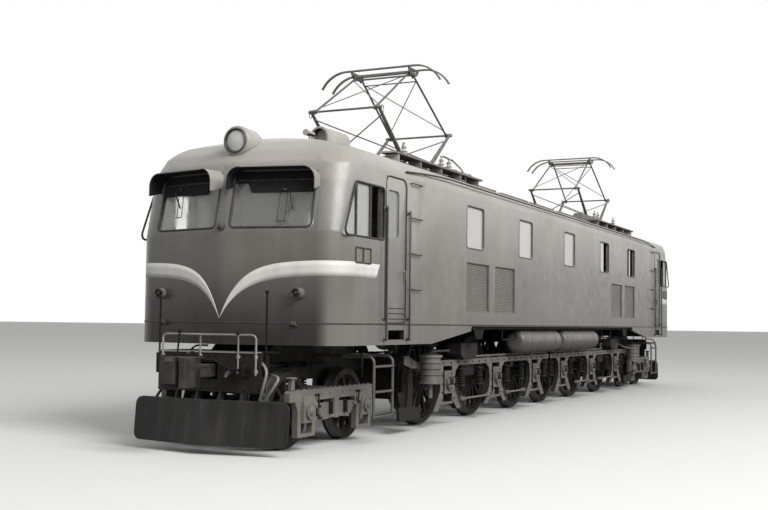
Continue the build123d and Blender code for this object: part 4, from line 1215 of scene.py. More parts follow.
    def build(self) -> None:
        """Band, seam, gutters, card frames, door seals and ribs, grab bars and intake slats."""
        for name, patch, finish in (
            ("nose_band", self.band(), BAND_PAINT), ("skirt_seam", self.seam(), SEAM_PAINT),
            ("gutters", self.gutter(), SEAM_PAINT), ("card_frames", self.cards(), SEAM_PAINT),
            ("door_seals", self.door_seals(), SEAL_RUBBER),
        ):
            self.add(name, patch, finish, "body_paint", Shading.SMOOTH)
        rib = self.door_ribs()
        for corner, patch in (("front_left", rib), ("front_right", rib.mirrored()), ("rear_right", rib.half_turned()),
                              ("rear_left", rib.half_turned().mirrored())):
            self.add(f"door_ribs_{corner}", patch, SEAM_PAINT, "body_paint", Shading.SMOOTH, f"door_{corner}")
        self.add("grab_bars", self.rungs(), RAIL_PAINT, "body_paint", Shading.SMOOTH)
        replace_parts(self.add("intake_slats", self.intakes(), INTAKE_PAINT, "body_paint"), "air_intakes")


@dataclass
class Glazing(SubAssembly):
    """Windscreens, cab side glass and machine room windows, with their seals and wipers."""

    window_x: tuple[float, ...] = (-4.705, -2.460, 0.0, 2.460, 4.705)
    window_size: Pair = (0.680, 0.600)
    window_z: float = 2.795
    corner: float = 0.060
    pane_spans: tuple[Pair, ...] = ((0.0, 0.10), (0.0, 0.33), (-0.33, 0.33), (-0.33, 0.33), (-0.33, 0.33))
    pane_depth: float = 0.022
    pane_thick: float = 0.006
    # Heights of the painted-shade boards under the visors: outer lower edge, inner lower edge, top.
    shade_board_z: tuple[float, float, float] = (2.895, 3.000, 3.135)
    shade_board_step: Pair = (0.270, 0.300)
    screen_y: Pair = (0.095, 1.040)
    screen_z: Pair = (2.485, 3.030)
    cab_pane: tuple[Pair, ...] = ((7.700, 2.410), (8.720, 2.410), (8.440, 3.030), (7.700, 3.030))
    cab_bars: tuple[tuple[float, ...], ...] = ((8.038, 8.082, -0.033, -0.001, 0.005),
                                               (8.404, 8.436, -0.033, -0.001, 0.005),
                                               (7.760, 7.795, -0.055, -0.033, 0.004))
    pane_split: float = 8.060
    seal: float = 0.013

    def dress(self) -> None:
        """Clear glass in the windscreens."""
        WARDROBE.paint("windscreens", CLEAR_GLASS)

    def side_seals(self) -> Patch:
        """A round seal in every machine room window opening.

        Returns:
            The seals on both sides.
        """
        spans = ((-size / 2, size / 2) for size in self.window_size)
        seal = upright_loop(rectangle(*spans), BODY_HALF_WIDTH - 0.004, self.corner, 0.011)
        return both_sides(stamped(seal, [(x, 0.0, self.window_z) for x in self.window_x]))

    def panes(self) -> Patch:
        """Cloudy panes in the machine room windows, two of which stand partly open on each side.

        Returns:
            The panes on both sides.
        """
        tall = self.window_size[1] / 2 - 0.004
        y = BODY_HALF_WIDTH - self.pane_depth
        return both_ends(*(slab((x + rear, y - self.pane_thick, self.window_z - tall),
                                (x + front, y, self.window_z + tall), 0.002)
                           for x, (rear, front) in zip(self.window_x, self.pane_spans)))

    def cab_panes(self) -> Patch:
        """The fixed panes beside the driver, which follow the body's plan round the corner.

        At each height the pane runs from the split to the slanted front edge. Its distance from the
        middle is read off the body's outline, moved back as far as the nose leans at that height.

        Returns:
            The panes at all four corners.
        """
        _, (low_x, low), (high_x, high), _ = self.cab_pane
        steps = 400
        outline = hull_outline(7.0, steps)[0][:steps]
        z = np.linspace(low, high, 9)[:, None]
        edge = low_x + (high_x - low_x) * (z - low) / (high - low)
        x = self.pane_split + np.linspace(0, 1, 24) * (edge - self.pane_split)
        lean = NOSE_LEVELS[0, 1] - nose_x(0.0, z)
        y = np.interp(x + lean, *outline.T) - self.pane_depth
        front = np.stack((x, y, np.broadcast_to(z, x.shape)), axis=-1)
        back = front[:, ::-1] - (0.0, self.pane_thick, 0.0)
        return all_corners(grid(np.concatenate((front, back), axis=1), wrap_columns=True, lids=True))

    def visor_shade_boards(self) -> Patch:
        """A near-black board of painted shade under each visor, over the top of the screen, lower away from the
        middle.

        Returns:
            The linings at both ends.
        """
        low, step_low, top = self.shade_board_z
        start, stop = self.shade_board_step
        y = np.linspace(*self.screen_y, 24)
        bottom = step_low + (low - step_low) * np.clip((y - start) / (stop - start), 0, 1)
        rows = []
        for part, out in ((0.0, -0.010), (0.0, 0.004), (0.5, 0.004), (1.0, 0.004), (1.0, -0.010)):
            z = bottom + part * (top - bottom)
            rows.append(np.column_stack((nose_x(y, z) + out, y, z)))
        return all_corners(grid(np.stack(rows), wrap_rows=True, lids=True))

    def screen_seals(self) -> Patch:
        """Seals round both windscreens, laid on the sloping nose.

        Returns:
            The seals at both ends.
        """
        ring = rounded_loop(rectangle(self.screen_y, self.screen_z), self.corner, 8)
        share = np.linspace(0, 1, 5)[:-1, None]
        fine = (ring[:, None] + share * (np.roll(ring, -1, axis=0) - ring)[:, None]).reshape(-1, 2)
        path = np.column_stack((nose_x(*fine.T) - 0.002, fine))
        return all_corners(tube(path, self.seal, 8, closed=True, normal=(1, 0, 0)))

    def cab_seals(self) -> Patch:
        """Seals round the cab side windows and the bars that part them.

        Returns:
            Seals and bars at all four corners.
        """
        low, high = self.cab_pane[0][1], self.cab_pane[3][1]
        side = BODY_HALF_WIDTH
        bars = (slab((x0, side + y0, low), (x1, side + y1, high), edge) for x0, x1, y0, y1, edge in self.cab_bars)
        return all_corners(upright_loop(self.cab_pane, side - 0.003, self.corner, self.seal, 8), *bars)

    def wiper(self, y: float, top: Pair, low: Pair, tip: Pair) -> Patch:
        """One wiper: a pair of thin rods on a pivot over the glass, and its blade.

        Args:
            y: Where the pivot stands across the nose.
            top: Height of the pivot and the gap between the two rods.
            low: Height of the lower ends of the rods and their lean.
            tip: Ends of the blade, across.

        Returns:
            The wiper's surface.
        """
        (z1, gap), (z0, lean) = top, low
        middle = y + gap / 2
        bars = (
            ((y, z1, 0.035), (y + lean, z0, 0.030), 0.0045, 6),
            ((y + gap, z1, 0.035), (y + gap + lean, z0, 0.030), 0.0045, 6),
            ((tip[0], z1 - 0.02, 0.040), (tip[1], z1 - 0.22, 0.022), 0.010, 6),
            ((middle, z1 + 0.01, -0.02), (middle, z1 + 0.01, 0.05), 0.016, 10),
            ((y - 0.01, z0, 0.026), (y + gap + 0.01, z0, 0.026), 0.006, 6),
        )
        return joined([tube([(nose_x(across, z) + out, across, z) for across, z, out in ends], radius, sides)
                       for *ends, radius, sides in bars])

    def build(self) -> None:
        """Seals, cloudy panes, painted shade under the visors, and wipers."""
        for name, patch, finish, shading in (
            ("window_seals", self.side_seals(), SEAL_PAINT, Shading.SMOOTH),
            # The boards under the visors are near-black painted shade.
            ("visor_painted_shade", self.visor_shade_boards(), SHADE_BLACK, Shading.EDGED),
            ("screen_seals", self.screen_seals(), SEAL_RUBBER, Shading.SMOOTH),
            ("cab_window_seals", self.cab_seals(), SEAL_RUBBER, Shading.EDGED),
        ):
            self.add(name, patch, finish, "body_paint", shading)
        panes = self.add("side_panes", joined((self.panes(), self.cab_panes())), CLOUDY_GLASS, "glass")
        WARDROBE.recoat(panes, DUSTY_GLASS, lambda centre, _: np.abs(centre[:, 0]) > self.cab_pane[0][0])
        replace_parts(panes, "side_glass")
        near = self.wiper(0.665, (2.903, 0.083), (2.553, -0.004), (0.779, 0.817))
        far = self.wiper(-0.745, (2.963, 0.075), (2.633, 0.02), (-0.813, -0.70))
        self.add("wipers", both_ends(near, far), SEAL_RUBBER, "body_paint", Shading.SMOOTH)


@dataclass
class Lamps(SubAssembly):
    """Headlamps and marker lamps."""

    head: Point = (8.800, 0.0, 3.520)
    head_radius: float = 0.128
    marker: Point = (8.960, 0.930, 1.745)
    marker_radius: float = 0.042

    def dress(self) -> None:
        """Painted cases, with a silvered disc in the headlamps and dark ones in the marker lamps."""
        self.skin("lamps", BODY_PAINT)
        self.skin("lamp_lenses", LAMP_WHITE, (MARKER_GLASS, lambda centre, _: centre[:, 2] < self.head[2] - 1.0))

    def dome(self, radius: float, rise: float) -> Patch:
        """A bulged glass: its height falls with the square of the distance from the middle.

        Args:
            radius: Radius of the glass.
            rise: How far its middle stands out.

        Returns:
            The glass, facing forward.
        """
        r = np.linspace(0.003, radius, 16)
        front = np.stack((r, rise * (1 - (r / radius) ** 2)), axis=1)
        return lathe(np.concatenate((front[::-1], front - (0, 0.004))), 48).turned(TO_FRONT)

    def rim(self, radius: float, width: float, depth: float) -> Patch:
        """A rolled ring round a glass.

        Args:
            radius: Inner radius.
            width: Width of the ring.
            depth: How far it reaches back.

        Returns:
            The ring, facing forward.
        """
        section = [(radius, -depth), (radius - 0.002, 0.0), (radius + 0.3 * width, 0.010),
                   (radius + 0.8 * width, 0.008), (radius + width, -0.004), (radius + width, -depth)]
        return lathe(section, 48, ring=True).turned(TO_FRONT)

    def build(self) -> None:
        """Glasses and rims at both ends."""
        glass = self.dome(self.head_radius, 0.020).moved(self.head).moved((-0.014, 0, 0))
        marker = self.dome(self.marker_radius, 0.010).moved(self.marker).moved((-0.009, 0, 0))
        marker_rims = both_sides(self.rim(self.marker_radius, 0.014, 0.010).moved(self.marker))
        head_rim = self.rim(self.head_radius, 0.020, 0.022).moved(self.head)
        for name, patch, finish in (
            ("headlamp_domes", both_ends(glass), LENS_GLASS),
            ("marker_domes", all_corners(marker), MARKER_GLASS),
            ("lamp_rims", both_ends(head_rim, marker_rims), RIM_METAL),
        ):
            self.add(name, patch, finish, "glass", Shading.SMOOTH)


@dataclass
class RoofEquipment(SubAssembly):
    """Roof hoods, walkways, pantographs and the high-voltage gear beside them."""

    hood_start: float = 6.300
    hood_floor: float = 3.66
    foot_top: float = 3.715
    spring_x: Pair = (4.450, 5.250)
    spring_y: float = 0.240
    spring_z: float = 3.768
    spring_radius: float = 0.034
    spring_wire: float = 0.0055
    spring_turns: int = 38
    spring_rod: Pair = (0.085, 0.011)
    cylinder_x: float = 4.900
    cylinder_z: float = 3.775
    saddle_x: Pair = (4.570, 4.940)
    saddle_z: Pair = (3.722, 3.750)
    duct_x: Pair = (3.150, 4.230)
    duct_y: Pair = (0.560, 0.740)
    duct_z: Pair = (3.560, 3.780)
    post_x: tuple[float, float, float] = (5.750, 4.420, 4.130)
    post_y: float = 0.740
    post_z: Pair = (3.570, 3.860)
    post_ribs: int = 5
    bus_bars: tuple[tuple[Point, ...], ...] = (
        ((5.750, 0.740, 3.905), (5.650, 0.680, 3.885), (5.620, 0.660, 3.710), (5.400, 0.500, 3.710)),
        ((4.420, 0.740, 3.905), (4.320, 0.740, 3.915), (4.130, 0.740, 3.905)),
        ((4.130, 0.740, 3.905), (4.030, 0.760, 3.895), (3.990, 0.900, 3.748), (3.990, 0.970, 3.573)),
        ((4.070, 0.330, 3.710), (3.870, 0.330, 3.710), (3.870, 0.330, 3.573)),
    )
    bar_bend: float = 0.045
    bar_radius: float = 0.014
    strip_half: float = 0.600
    knuckle_y: float = 0.56
    knuckle_ring: Point = (0.040, 1.0, 0.055)

    def dress(self) -> None:
        """Roof paint on the hoods, painted shade on their undersides, dull steel on the pantographs, glazed insulators
        under their bases.
        """
        self.skin("roof_gear", ROOF_PAINT, (RACK_PAINT, lambda centre, _: np.abs(centre[:, 0]) < self.hood_start),
                  # The undersides of the roof hoods wear near-black painted shade.
                  (SHADE_BLACK, lambda centre, normal: (normal[:, 2] < -0.25) & (centre[:, 2] > self.hood_floor)),
                  edge=0.004)
        self.skin("pantograph_bases", PANTOGRAPH_STEEL, (PORCELAIN, lambda centre, _: centre[:, 2] < self.foot_top))
        for end in ENDS:
            for arm in ("lower_outer", "lower_inner", "upper_outer", "upper_inner"):
                self.skin(f"panto_{arm}_{end}", PANTOGRAPH_STEEL)
            self.skin(f"panto_head_{end}", PANTOGRAPH_STEEL, (STRIP_METAL, self.strip_tops))

    def strip_tops(self, centre: Array, normal: Array) -> Array:
        """Which faces of a pantograph head touch the wire."""
        return (normal[:, 2] > 0.6) & (np.abs(centre[:, 1]) < self.strip_half)

    def springs(self) -> Patch:
        """The coil springs along each pantograph base, with a rod and a cup at each end.

        Returns:
            The springs of both pantographs.
        """
        y, z = self.spring_y, self.spring_z
        x0, x1 = self.spring_x
        cup = lathe([(0.012, 0.0), (0.040, 0.004), (0.040, 0.016), (0.012, 0.022)], 20)
        parts = [coil((x0, y, z), (x1, y, z), self.spring_radius, self.spring_wire, self.spring_turns, 12)]
        length, radius = self.spring_rod
        for end, way in ((x0 + 0.01, -1), (x1 - 0.01, 1)):
            parts.append(tube([(end, y, z), (end + way * length, y, z)], radius, 8))
            parts.append(cup.turned(facing((way, 0, 0))).moved((end - way * 0.012, y, z)))
        return all_corners(*parts)

    def air_cylinder(self) -> Patch:
        """The raising cylinder across the middle of each base, with its rod, flanges and saddles.

        Returns:
            The cylinders of both pantographs.
        """
        profile = [(0.03, -0.34), (0.055, -0.34), (0.055, -0.31), (0.044, -0.30), (0.044, 0.02), (0.055, 0.03),
                   (0.055, 0.06), (0.03, 0.06), (0.016, 0.07), (0.016, 0.30)]
        body = lathe(profile, 28).turned(TO_FRONT).moved((self.cylinder_x, 0.0, self.cylinder_z))
        low, high = self.saddle_z
        return both_ends(body, *(slab((x - 0.02, -0.09, low), (x + 0.02, 0.09, high)) for x in self.saddle_x))

    def on_posts(self, shape: Patch, level: float) -> Patch:
        """A shape at every post insulator."""
        return all_corners(stamped(shape, [(x, self.post_y, level) for x in self.post_x]))

    def posts(self) -> Patch:
        """Ribbed insulators that stand on the roof beside each pantograph.

        Returns:
            The insulators at all four corners.
        """
        low, high = self.post_z
        tall = high - low
        section = [(0.030, 0.0), (0.052, 0.004)]
        for start in 0.02 + np.arange(self.post_ribs) * (tall - 0.06) / self.post_ribs:
            section += [(0.030, start), (0.055, start + 0.012), (0.050, start + 0.020), (0.028, start + 0.026)]
        return self.on_posts(lathe([*section, (0.028, tall - 0.03), (0.014, tall - 0.02)]), low)

    def caps(self) -> Patch:
        """Metal caps and clamp bolts on the post insulators.

        Returns:
            The caps at all four corners.
        """
        cap = [(0.034, -0.034), (0.036, -0.010), (0.030, 0.0), (0.010, 0.004), (0.010, 0.028), (0.020, 0.034),
               (0.020, 0.052), (0.006, 0.058)]
        return self.on_posts(lathe(cap, 20), self.post_z[1])

    def cables(self) -> Patch:
        """Bus bars from post to post and from each pantograph base, and the pipes that go down the roof."""
        return both_ends(*(bent(run, self.bar_bend, self.bar_radius) for run in self.bus_bars))

    def ducts(self) -> Patch:
        """A low cable duct with rounded upper edges and straps on each side of each pantograph.

        Returns:
            The ducts at all four corners.
        """
        (x0, x1), (y0, y1), (z0, z1) = self.duct_x, self.duct_y, self.duct_z
        ring = rounded_loop(rectangle(self.duct_y, self.duct_z), 0.018, 5)
        middle = ring.mean(axis=0)
        rows = [np.insert(middle + size * (ring - middle), 0, x, axis=1)
                for x, size in ((x0, 0.97), (x0 + 0.004, 1.0), (x1 - 0.004, 1.0), (x1, 0.97))]
        straps = (slab((x - 0.02, y0 - 0.004, z0), (x + 0.02, y1 + 0.004, z1 + 0.004), 0.002)
                  for x in np.linspace(x0 + 0.1, x1 - 0.1, 4))
        return all_corners(grid(np.stack(rows), wrap_columns=True, lids=True), *straps)

    def knuckle_rings(self) -> Patch:
        """Stay rings beside the knuckles of the front pantograph.

        Returns:
            The rings at the front end.
        """
        _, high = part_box("panto_lower_outer_front")
        ring = circle((0, 0, 0), 1.0, ACROSS, 24) * self.knuckle_ring
        return both_sides(tube(ring + (high[0] - 0.065, self.knuckle_y, high[2] - FLANGE - 0.05), 0.005, 6,
                               closed=True, normal=(0, 1, 0)))

    def build(self) -> None:
        """Springs, cylinders, insulators, bus bars, ducts and knuckle rings."""
        slot = "pantograph_metal"
        self.add("pantograph_springs", self.springs(), BRIGHT_METAL, slot, Shading.SMOOTH)
        self.add("pantograph_cylinders", self.air_cylinder(), PANTOGRAPH_STEEL, slot)
        self.add("post_insulators", self.posts(), PORCELAIN, slot)
        self.add("insulator_caps", self.caps(), BRIGHT_METAL, slot)
        self.add("roof_bus_bars", self.cables(), PANTOGRAPH_STEEL, slot, Shading.SMOOTH)
        self.add("roof_ducts", self.ducts(), RACK_PAINT, "roof_paint")
        self.add_ends("knuckle_rings", self.knuckle_rings(), PANTOGRAPH_STEEL, Place.OUTER_ARM, slot, Shading.SMOOTH)


@dataclass
class MainTrucks(SubAssembly):
    """Main truck frames with wheels, brakes, beams, ploughs and couplers."""

    driver_x: tuple[float, float, float] = (0.840, 2.820, 4.800)
    driver_z: float = 0.625
    plate_y: float = 1.030
    bar_z: Pair = (0.830, 0.915)
    sand_box_end: float = 5.0
    bar_bolt_x: tuple[float, float, float] = (0.2, 5.9, 0.28)
    jaw_bolts: tuple[Pair, ...] = ((0.200, 0.70), (0.200, 0.58), (0.205, 0.46), (0.215, 0.36))
    hanger_reach: float = 0.62
    rod_y: float = 1.075
    rod_z: float = 0.345
    rod_spans: tuple[Pair, ...] = ((1.60, 2.40), (3.30, 4.35))
    pipe_z: float = 0.945
    pipe_clip_x: tuple[float, float, float] = (0.4, 3.7, 0.55)
    pipe: tuple[Point, ...] = ((0.15, -0.07, 0), (3.75, -0.07, 0), (3.75, -0.12, 0.10), (5.30, -0.12, 0.10),
                               (5.42, -0.02, 0.02), (5.62, 0.10, -0.01))
    cylinder: Point = (5.800, 1.190, 1.010)
    cylinder_rings: tuple[float, ...] = (-0.27, -0.19, -0.11)
    cylinder_lever: tuple[Point, ...] = ((0, 0, -0.56), (0, -0.02, -0.61), (-0.10, -0.10, -0.65))
    cylinder_pipe: tuple[Point, ...] = ((-0.05, 0, 0.03), (-0.05, 0, 0.09), (-0.05, -0.30, 0.09), (-0.30, -0.38, 0.05))
    beam_x: float = 9.240
    beam_half: float = 0.690
    beam_z: Pair = (0.650, 1.080)
    rivet_inset: Pair = (0.040, 0.035)
    uncoupler: tuple[Point, ...] = ((0.055, -0.40, -0.22), (0.055, -0.30, -0.22), (0.075, -0.12, -0.08),
                                    (0.075, 0.12, -0.08), (0.055, 0.30, -0.18), (0.055, 0.54, -0.18))
    uncoupler_feet: Pair = (-0.36, 0.48)
    handle: tuple[Point, ...] = ((0.055, -0.40, -0.22), (0.075, -0.38, -0.05), (0.060, -0.36, 0.235))
    balls: tuple[Point, ...] = ((0.060, -0.36, 0.240), (0.016, 0.39, 0.220))
    side_pipe: tuple[Point, ...] = ((-0.05, 0.55, -0.15), (-0.60, 0.55, -0.15), (-0.75, 0.46, -0.15),
                                    (-1.79, 0.46, -0.15))
    clip_x: tuple[float, ...] = (-0.49, -0.89, -1.29)
    clip_y: float = 0.470
    stay_paths: tuple[tuple[Point, ...], ...] = (
        ((-0.02, 0.67, -0.09), (0.02, 0.775, -0.18), (0.055, 0.70, -0.505)),
        ((-0.14, 0.67, -0.22), (0.01, 0.925, -0.25), (0.050, 0.76, -0.510)),
    )
    cock: tuple[Point, ...] = ((-0.02, 0.30, -0.22), (0.09, 0.30, -0.22), (0.13, 0.30, -0.27))
    cock_handle: tuple[Point, ...] = ((0.05, 0.30, -0.20), (0.05, 0.37, -0.15))
    collar: Point = (0.05, 0.30, -0.22)
    link: tuple[Point, ...] = ((0.40, -0.02, -0.015), (0.30, -0.02, 0.02), (0.08, -0.02, -0.06))
    ladder_x: Pair = (7.200, 7.715)
    ladder_y: float = 1.290
    tread_z: tuple[float, ...] = (0.334, 0.624, 0.924)
    tread_half: float = 0.018
    grab_rod: tuple[Point, ...] = ((7.93, 1.24, 0.80), (7.93, 1.24, 1.02), (7.83, 1.18, 1.12), (7.74, 1.05, 1.12))
    plough_half: float = 1.020
    plough_edge: tuple[float, float, float] = (0.930, 9.313, 0.554)
    edge_sweep: float = 0.1235
    plough_z: Pair = (0.055, 0.580)
    plough_x: Pair = (9.458, 9.323)
    plough_sweep: Pair = (0.215, 0.125)
    stay_y: tuple[float, ...] = (-0.43, -0.15, 0.15, 0.43)
    stay_z: tuple[float, ...] = (0.50, 0.40, 0.30)

    def dress(self) -> None:
        """Iron and frame paint over the running gear; treads and flanges shine where they run."""
        for end in ENDS:
            self.skin(f"truck_frame_{end}", SIDE_IRON,
                      (GEAR_IRON, lambda centre, _: np.abs(centre[:, 1]) < self.plate_y - 0.012), edge=0.004)
            self.skin(f"running_gear_{end}", GEAR_IRON, (SIDE_IRON, self.outer_gear), edge=0.003)
            self.skin(f"end_deck_{end}", FRAME_PAINT,
                      (WEATHERED_WHITE, lambda centre, _: np.abs(centre[:, 0]) > self.beam_x + 0.001),
                      (LADDER_PAINT, lambda centre, _: np.abs(centre[:, 0]) < self.ladder_x[1] + 0.1))
            self.skin(f"plough_{end}", PLOUGH_PAINT, edge=0.003)
            self.skin(f"coupler_{end}", COUPLER_STEEL, edge=0.004)
            WARDROBE.paint(f"traction_motors_{end}", GEAR_IRON)
            for number in (1, 2, 3):
                self.wheelset(f"wheelset_driver_{number}_{end}")

    def outer_gear(self, centre: Array, normal: Array) -> Array:
        """Which faces of the running gear stand outside the side plates, without the sand boxes."""
        along, across = np.abs(centre[:, :2]).T
        return (across > self.plate_y) & ((centre[:, 2] < self.bar_z[1]) | (along > self.sand_box_end))

    def plate_bolts(self) -> Patch:
        """Bolts along the side frames: rows by each jaw, and along the top bar.

        Returns:
            The bolts on both sides.
        """
        legs = [(x + side * shift, self.plate_y, z) for x in self.driver_x for side in SIDES
                for shift, z in self.jaw_bolts]
        rail = [(x, self.plate_y, sum(self.bar_z) / 2) for x in np.arange(*self.bar_bolt_x)]
        return both_sides(stamped(hex_bolt(0.013).turned(TO_LEFT), legs + rail))

    def cover_bolts(self) -> Patch:
        """Six bolts on each axle box cover, and the oiler's cap between them.

        Returns:
            Bolts and caps on both sides.
        """
        centres = [(x, self.plate_y + 0.060, self.driver_z) for x in self.driver_x]
        ring = np.concatenate([circle(centre, 0.100, ACROSS, 6, math.pi / 6) for centre in centres])
        dome = lathe([(0.060, 0.0), (0.058, 0.012), (0.040, 0.022), (0.012, 0.026)], 20).turned(TO_LEFT)
        return both_sides(stamped(hex_bolt(0.013).turned(TO_LEFT), ring), stamped(dome, centres))

    def springs(self) -> Patch:
        """Spring hangers between the wheels: a coil on a rod between two cups, under the top bar.

        Returns:
            The hangers on both sides.
        """
        cup = lathe([(0.010, 0.0), (0.066, 0.0), (0.066, 0.014), (0.05, 0.022), (0.010, 0.022)], 20)
        hanger = joined((coil((0, 0, -0.30), (0, 0, -0.08), 0.045, 0.011, 6, 14),
                         tube([(0, 0, -0.36), (0, 0, 0)], 0.014, 8), stamped(cup, [(0, 0, -0.32), (0, 0, -0.078)])))
        places = [(x + side * self.hanger_reach, self.plate_y - 0.045, self.bar_z[0])
                  for x in self.driver_x for side in SIDES]
        return both_sides(stamped(hanger, places))

    def rods(self) -> Patch:
        """Brake pull rods low along the wheels, with jaw ends and pins, and a pipe over the frame.

        Returns:
            Rods, pipe and clips on both sides.
        """
        y, z = self.rod_y, self.rod_z
        ends = [(x, y, z) for span in self.rod_spans for x in span]
        parts = [tube([(x0, y, z), (x1, y, z)], 0.015) for x0, x1 in self.rod_spans]
        parts.append(stamped(slab((-0.05, -0.03, -0.028), (0.05, 0.03, 0.028), 0.008), ends))
        parts.append(stamped(tube([(0, -0.045, 0), (0, 0.045, 0)], 0.014), ends))
        z = self.pipe_z
        parts.append(bent(self.pipe, 0.06, 0.017, 10).moved((0, y, z)))
        clip = slab((-0.015, -0.095, -0.03), (0.015, -0.045, 0.022), 0.004)
        return both_sides(*parts, stamped(clip, [(x, y, z) for x in np.arange(*self.pipe_clip_x)]))

    def cylinder_dress(self) -> Patch:
        """Flange bolts, lid, rings, lever and pipe of the upright brake cylinders, drawn about their tops.

        Returns:
            The fittings on both sides.
        """
        lid = lathe([(0.125, 0.0), (0.120, 0.012), (0.080, 0.026), (0.02, 0.032)], 32)
        parts = (stamped(hex_bolt(0.010), circle((0, 0, 0), 0.146, UP, 10)), lid,
                 *(hoop((0, 0, z), 0.135, 0.006, UP) for z in self.cylinder_rings),
                 tube(self.cylinder_lever, 0.026), bent(self.cylinder_pipe, 0.04, 0.014))
        return both_sides(joined(parts).moved(self.cylinder))

    def on_beam(self, *patches: Patch) -> Patch:
        """Surfaces drawn from the middle of the end beam's upper front edge, moved to it."""
        return joined(patches).moved((self.beam_x, 0.0, self.beam_z[1]))

    def beam_dress(self) -> Patch:
        """Rivets round the end beam, the uncoupling rod with its ball handle, and side pipes.

        Returns:
            The fittings of one beam.
        """
        (low, high), (inset, edge) = self.beam_z, self.rivet_inset
        half = self.beam_half - inset
        rivet = lathe([(0.013, 0.0), (0.011, 0.005), (0.004, 0.009)], 10).turned(TO_FRONT)
        rivets = [(0.0, y, z) for y in np.linspace(-half, half, 15) for z in (low - high + edge, -edge)]
        ball = lathe([(0.004, -0.026), (0.018, -0.02), (0.026, 0.0), (0.018, 0.02), (0.004, 0.026)], 14)
        foot = slab((-0.002, -0.03, -0.26), (0.085, 0.03, -0.14), 0.006)
        clip = slab((-0.02, -0.06, -0.18), (0.02, 0.04, -0.12), 0.006)
        pipe = bent(self.side_pipe, 0.08, 0.020, 10)
        return self.on_beam(
            stamped(rivet, rivets), bent(self.uncoupler, 0.05, 0.013), tube(self.handle, 0.011, 8),
            stamped(foot, [(0.0, y, 0.0) for y in self.uncoupler_feet]), stamped(ball, self.balls), both_sides(pipe),
            stamped(clip, [(x, side * self.clip_y, 0.0) for x in self.clip_x for side in SIDES]))

    def stays(self) -> Patch:
        """Two pale curved stays from the end beam down to the plough, left of the coupler."""
        return self.on_beam(*(bent(path, 0.08, 0.015, 10) for path in self.stay_paths))

    def coupler_dress(self) -> Patch:
        """Angle-cock pipes beside the coupler, with their collars and handles, and its lifting link.

        Returns:
            The fittings of one coupler.
        """
        collar = lathe([(0.020, -0.02), (0.033, -0.018), (0.033, 0.018), (0.020, 0.02)], 14).turned(TO_FRONT)
        cocks = both_sides(bent(self.cock, 0.03, 0.022, 12), collar.moved(self.collar),
                           tube(self.cock_handle, 0.007, 8))
        return self.on_beam(cocks, bent(self.link, 0.04, 0.010))

    def plough_dress(self) -> Patch:
        """A stiffening bar along the plough's upper edge and the bolt heads of its stays.

        The bar falls back from the middle by a fixed share. The face leans and sweeps back by shares
        that change evenly from its foot to its top, which places the bolt heads on it.

        Returns:
            The bar and the bolt heads.
        """
        half, tip, level = self.plough_edge
        y = np.concatenate((np.linspace(-half, 0, 12), np.linspace(0, half, 12)[1:]))
        edge = np.column_stack((tip - np.abs(y) * self.edge_sweep, y, np.full_like(y, level)))
        head = lathe([(0.014, 0.0), (0.012, 0.005), (0.004, 0.008)], 10).turned(facing((1, 0, 0.24)))
        y, z = (axis.ravel() for axis in np.meshgrid(self.stay_y, self.stay_z))
        forward, sweep = (np.interp(z, self.plough_z, ends) for ends in (self.plough_x, self.plough_sweep))
        bolts = np.column_stack((forward - np.abs(y) * sweep / self.plough_half, y, z))
        return joined((tube(edge, 0.012, 8, normal=(0, 0, 1)), stamped(head, bolts)))

    def ladder_dress(self) -> Patch:
        """Rounded treads over the ladder rungs and the bent grab rod above them.

        Returns:
            Treads and rods on both sides.
        """
        treads = (tube([(x, self.ladder_y + shift, z) for x in self.ladder_x], 0.006, 8)
                  for z in self.tread_z for shift in (-self.tread_half, self.tread_half))
        return both_sides(*treads, bent(self.grab_rod, 0.05, 0.012))

    def build(self) -> None:
        """Everything bolted to the trucks, at both ends."""
        for name, patch, finish, slot, shading in (
            ("plate_bolts", self.plate_bolts(), GEAR_IRON, "frame_paint", Shading.EDGED),
            ("cover_bolts", self.cover_bolts(), GEAR_IRON, "cast_iron", Shading.EDGED),
            ("spring_hangers", self.springs(), GEAR_IRON, "cast_iron", Shading.SMOOTH),
            ("brake_rods", self.rods(), SIDE_IRON, "cast_iron", Shading.EDGED),
            ("cylinder_fittings", self.cylinder_dress(), GEAR_IRON, "cast_iron", Shading.EDGED),
            ("beam_fittings", self.beam_dress(), FRAME_PAINT, "frame_paint", Shading.EDGED),
            ("beam_stays", self.stays(), WEATHERED_WHITE, "frame_paint", Shading.SMOOTH),
            ("coupler_fittings", self.coupler_dress(), COUPLER_STEEL, "cast_iron", Shading.EDGED),
            ("plough_fittings", self.plough_dress(), PLOUGH_PAINT, "frame_paint", Shading.EDGED),
            ("ladder_fittings", self.ladder_dress(), FRAME_PAINT, "frame_paint", Shading.SMOOTH),
        ):
            self.add_ends(name, patch, finish, Place.TRUCK, slot, shading)


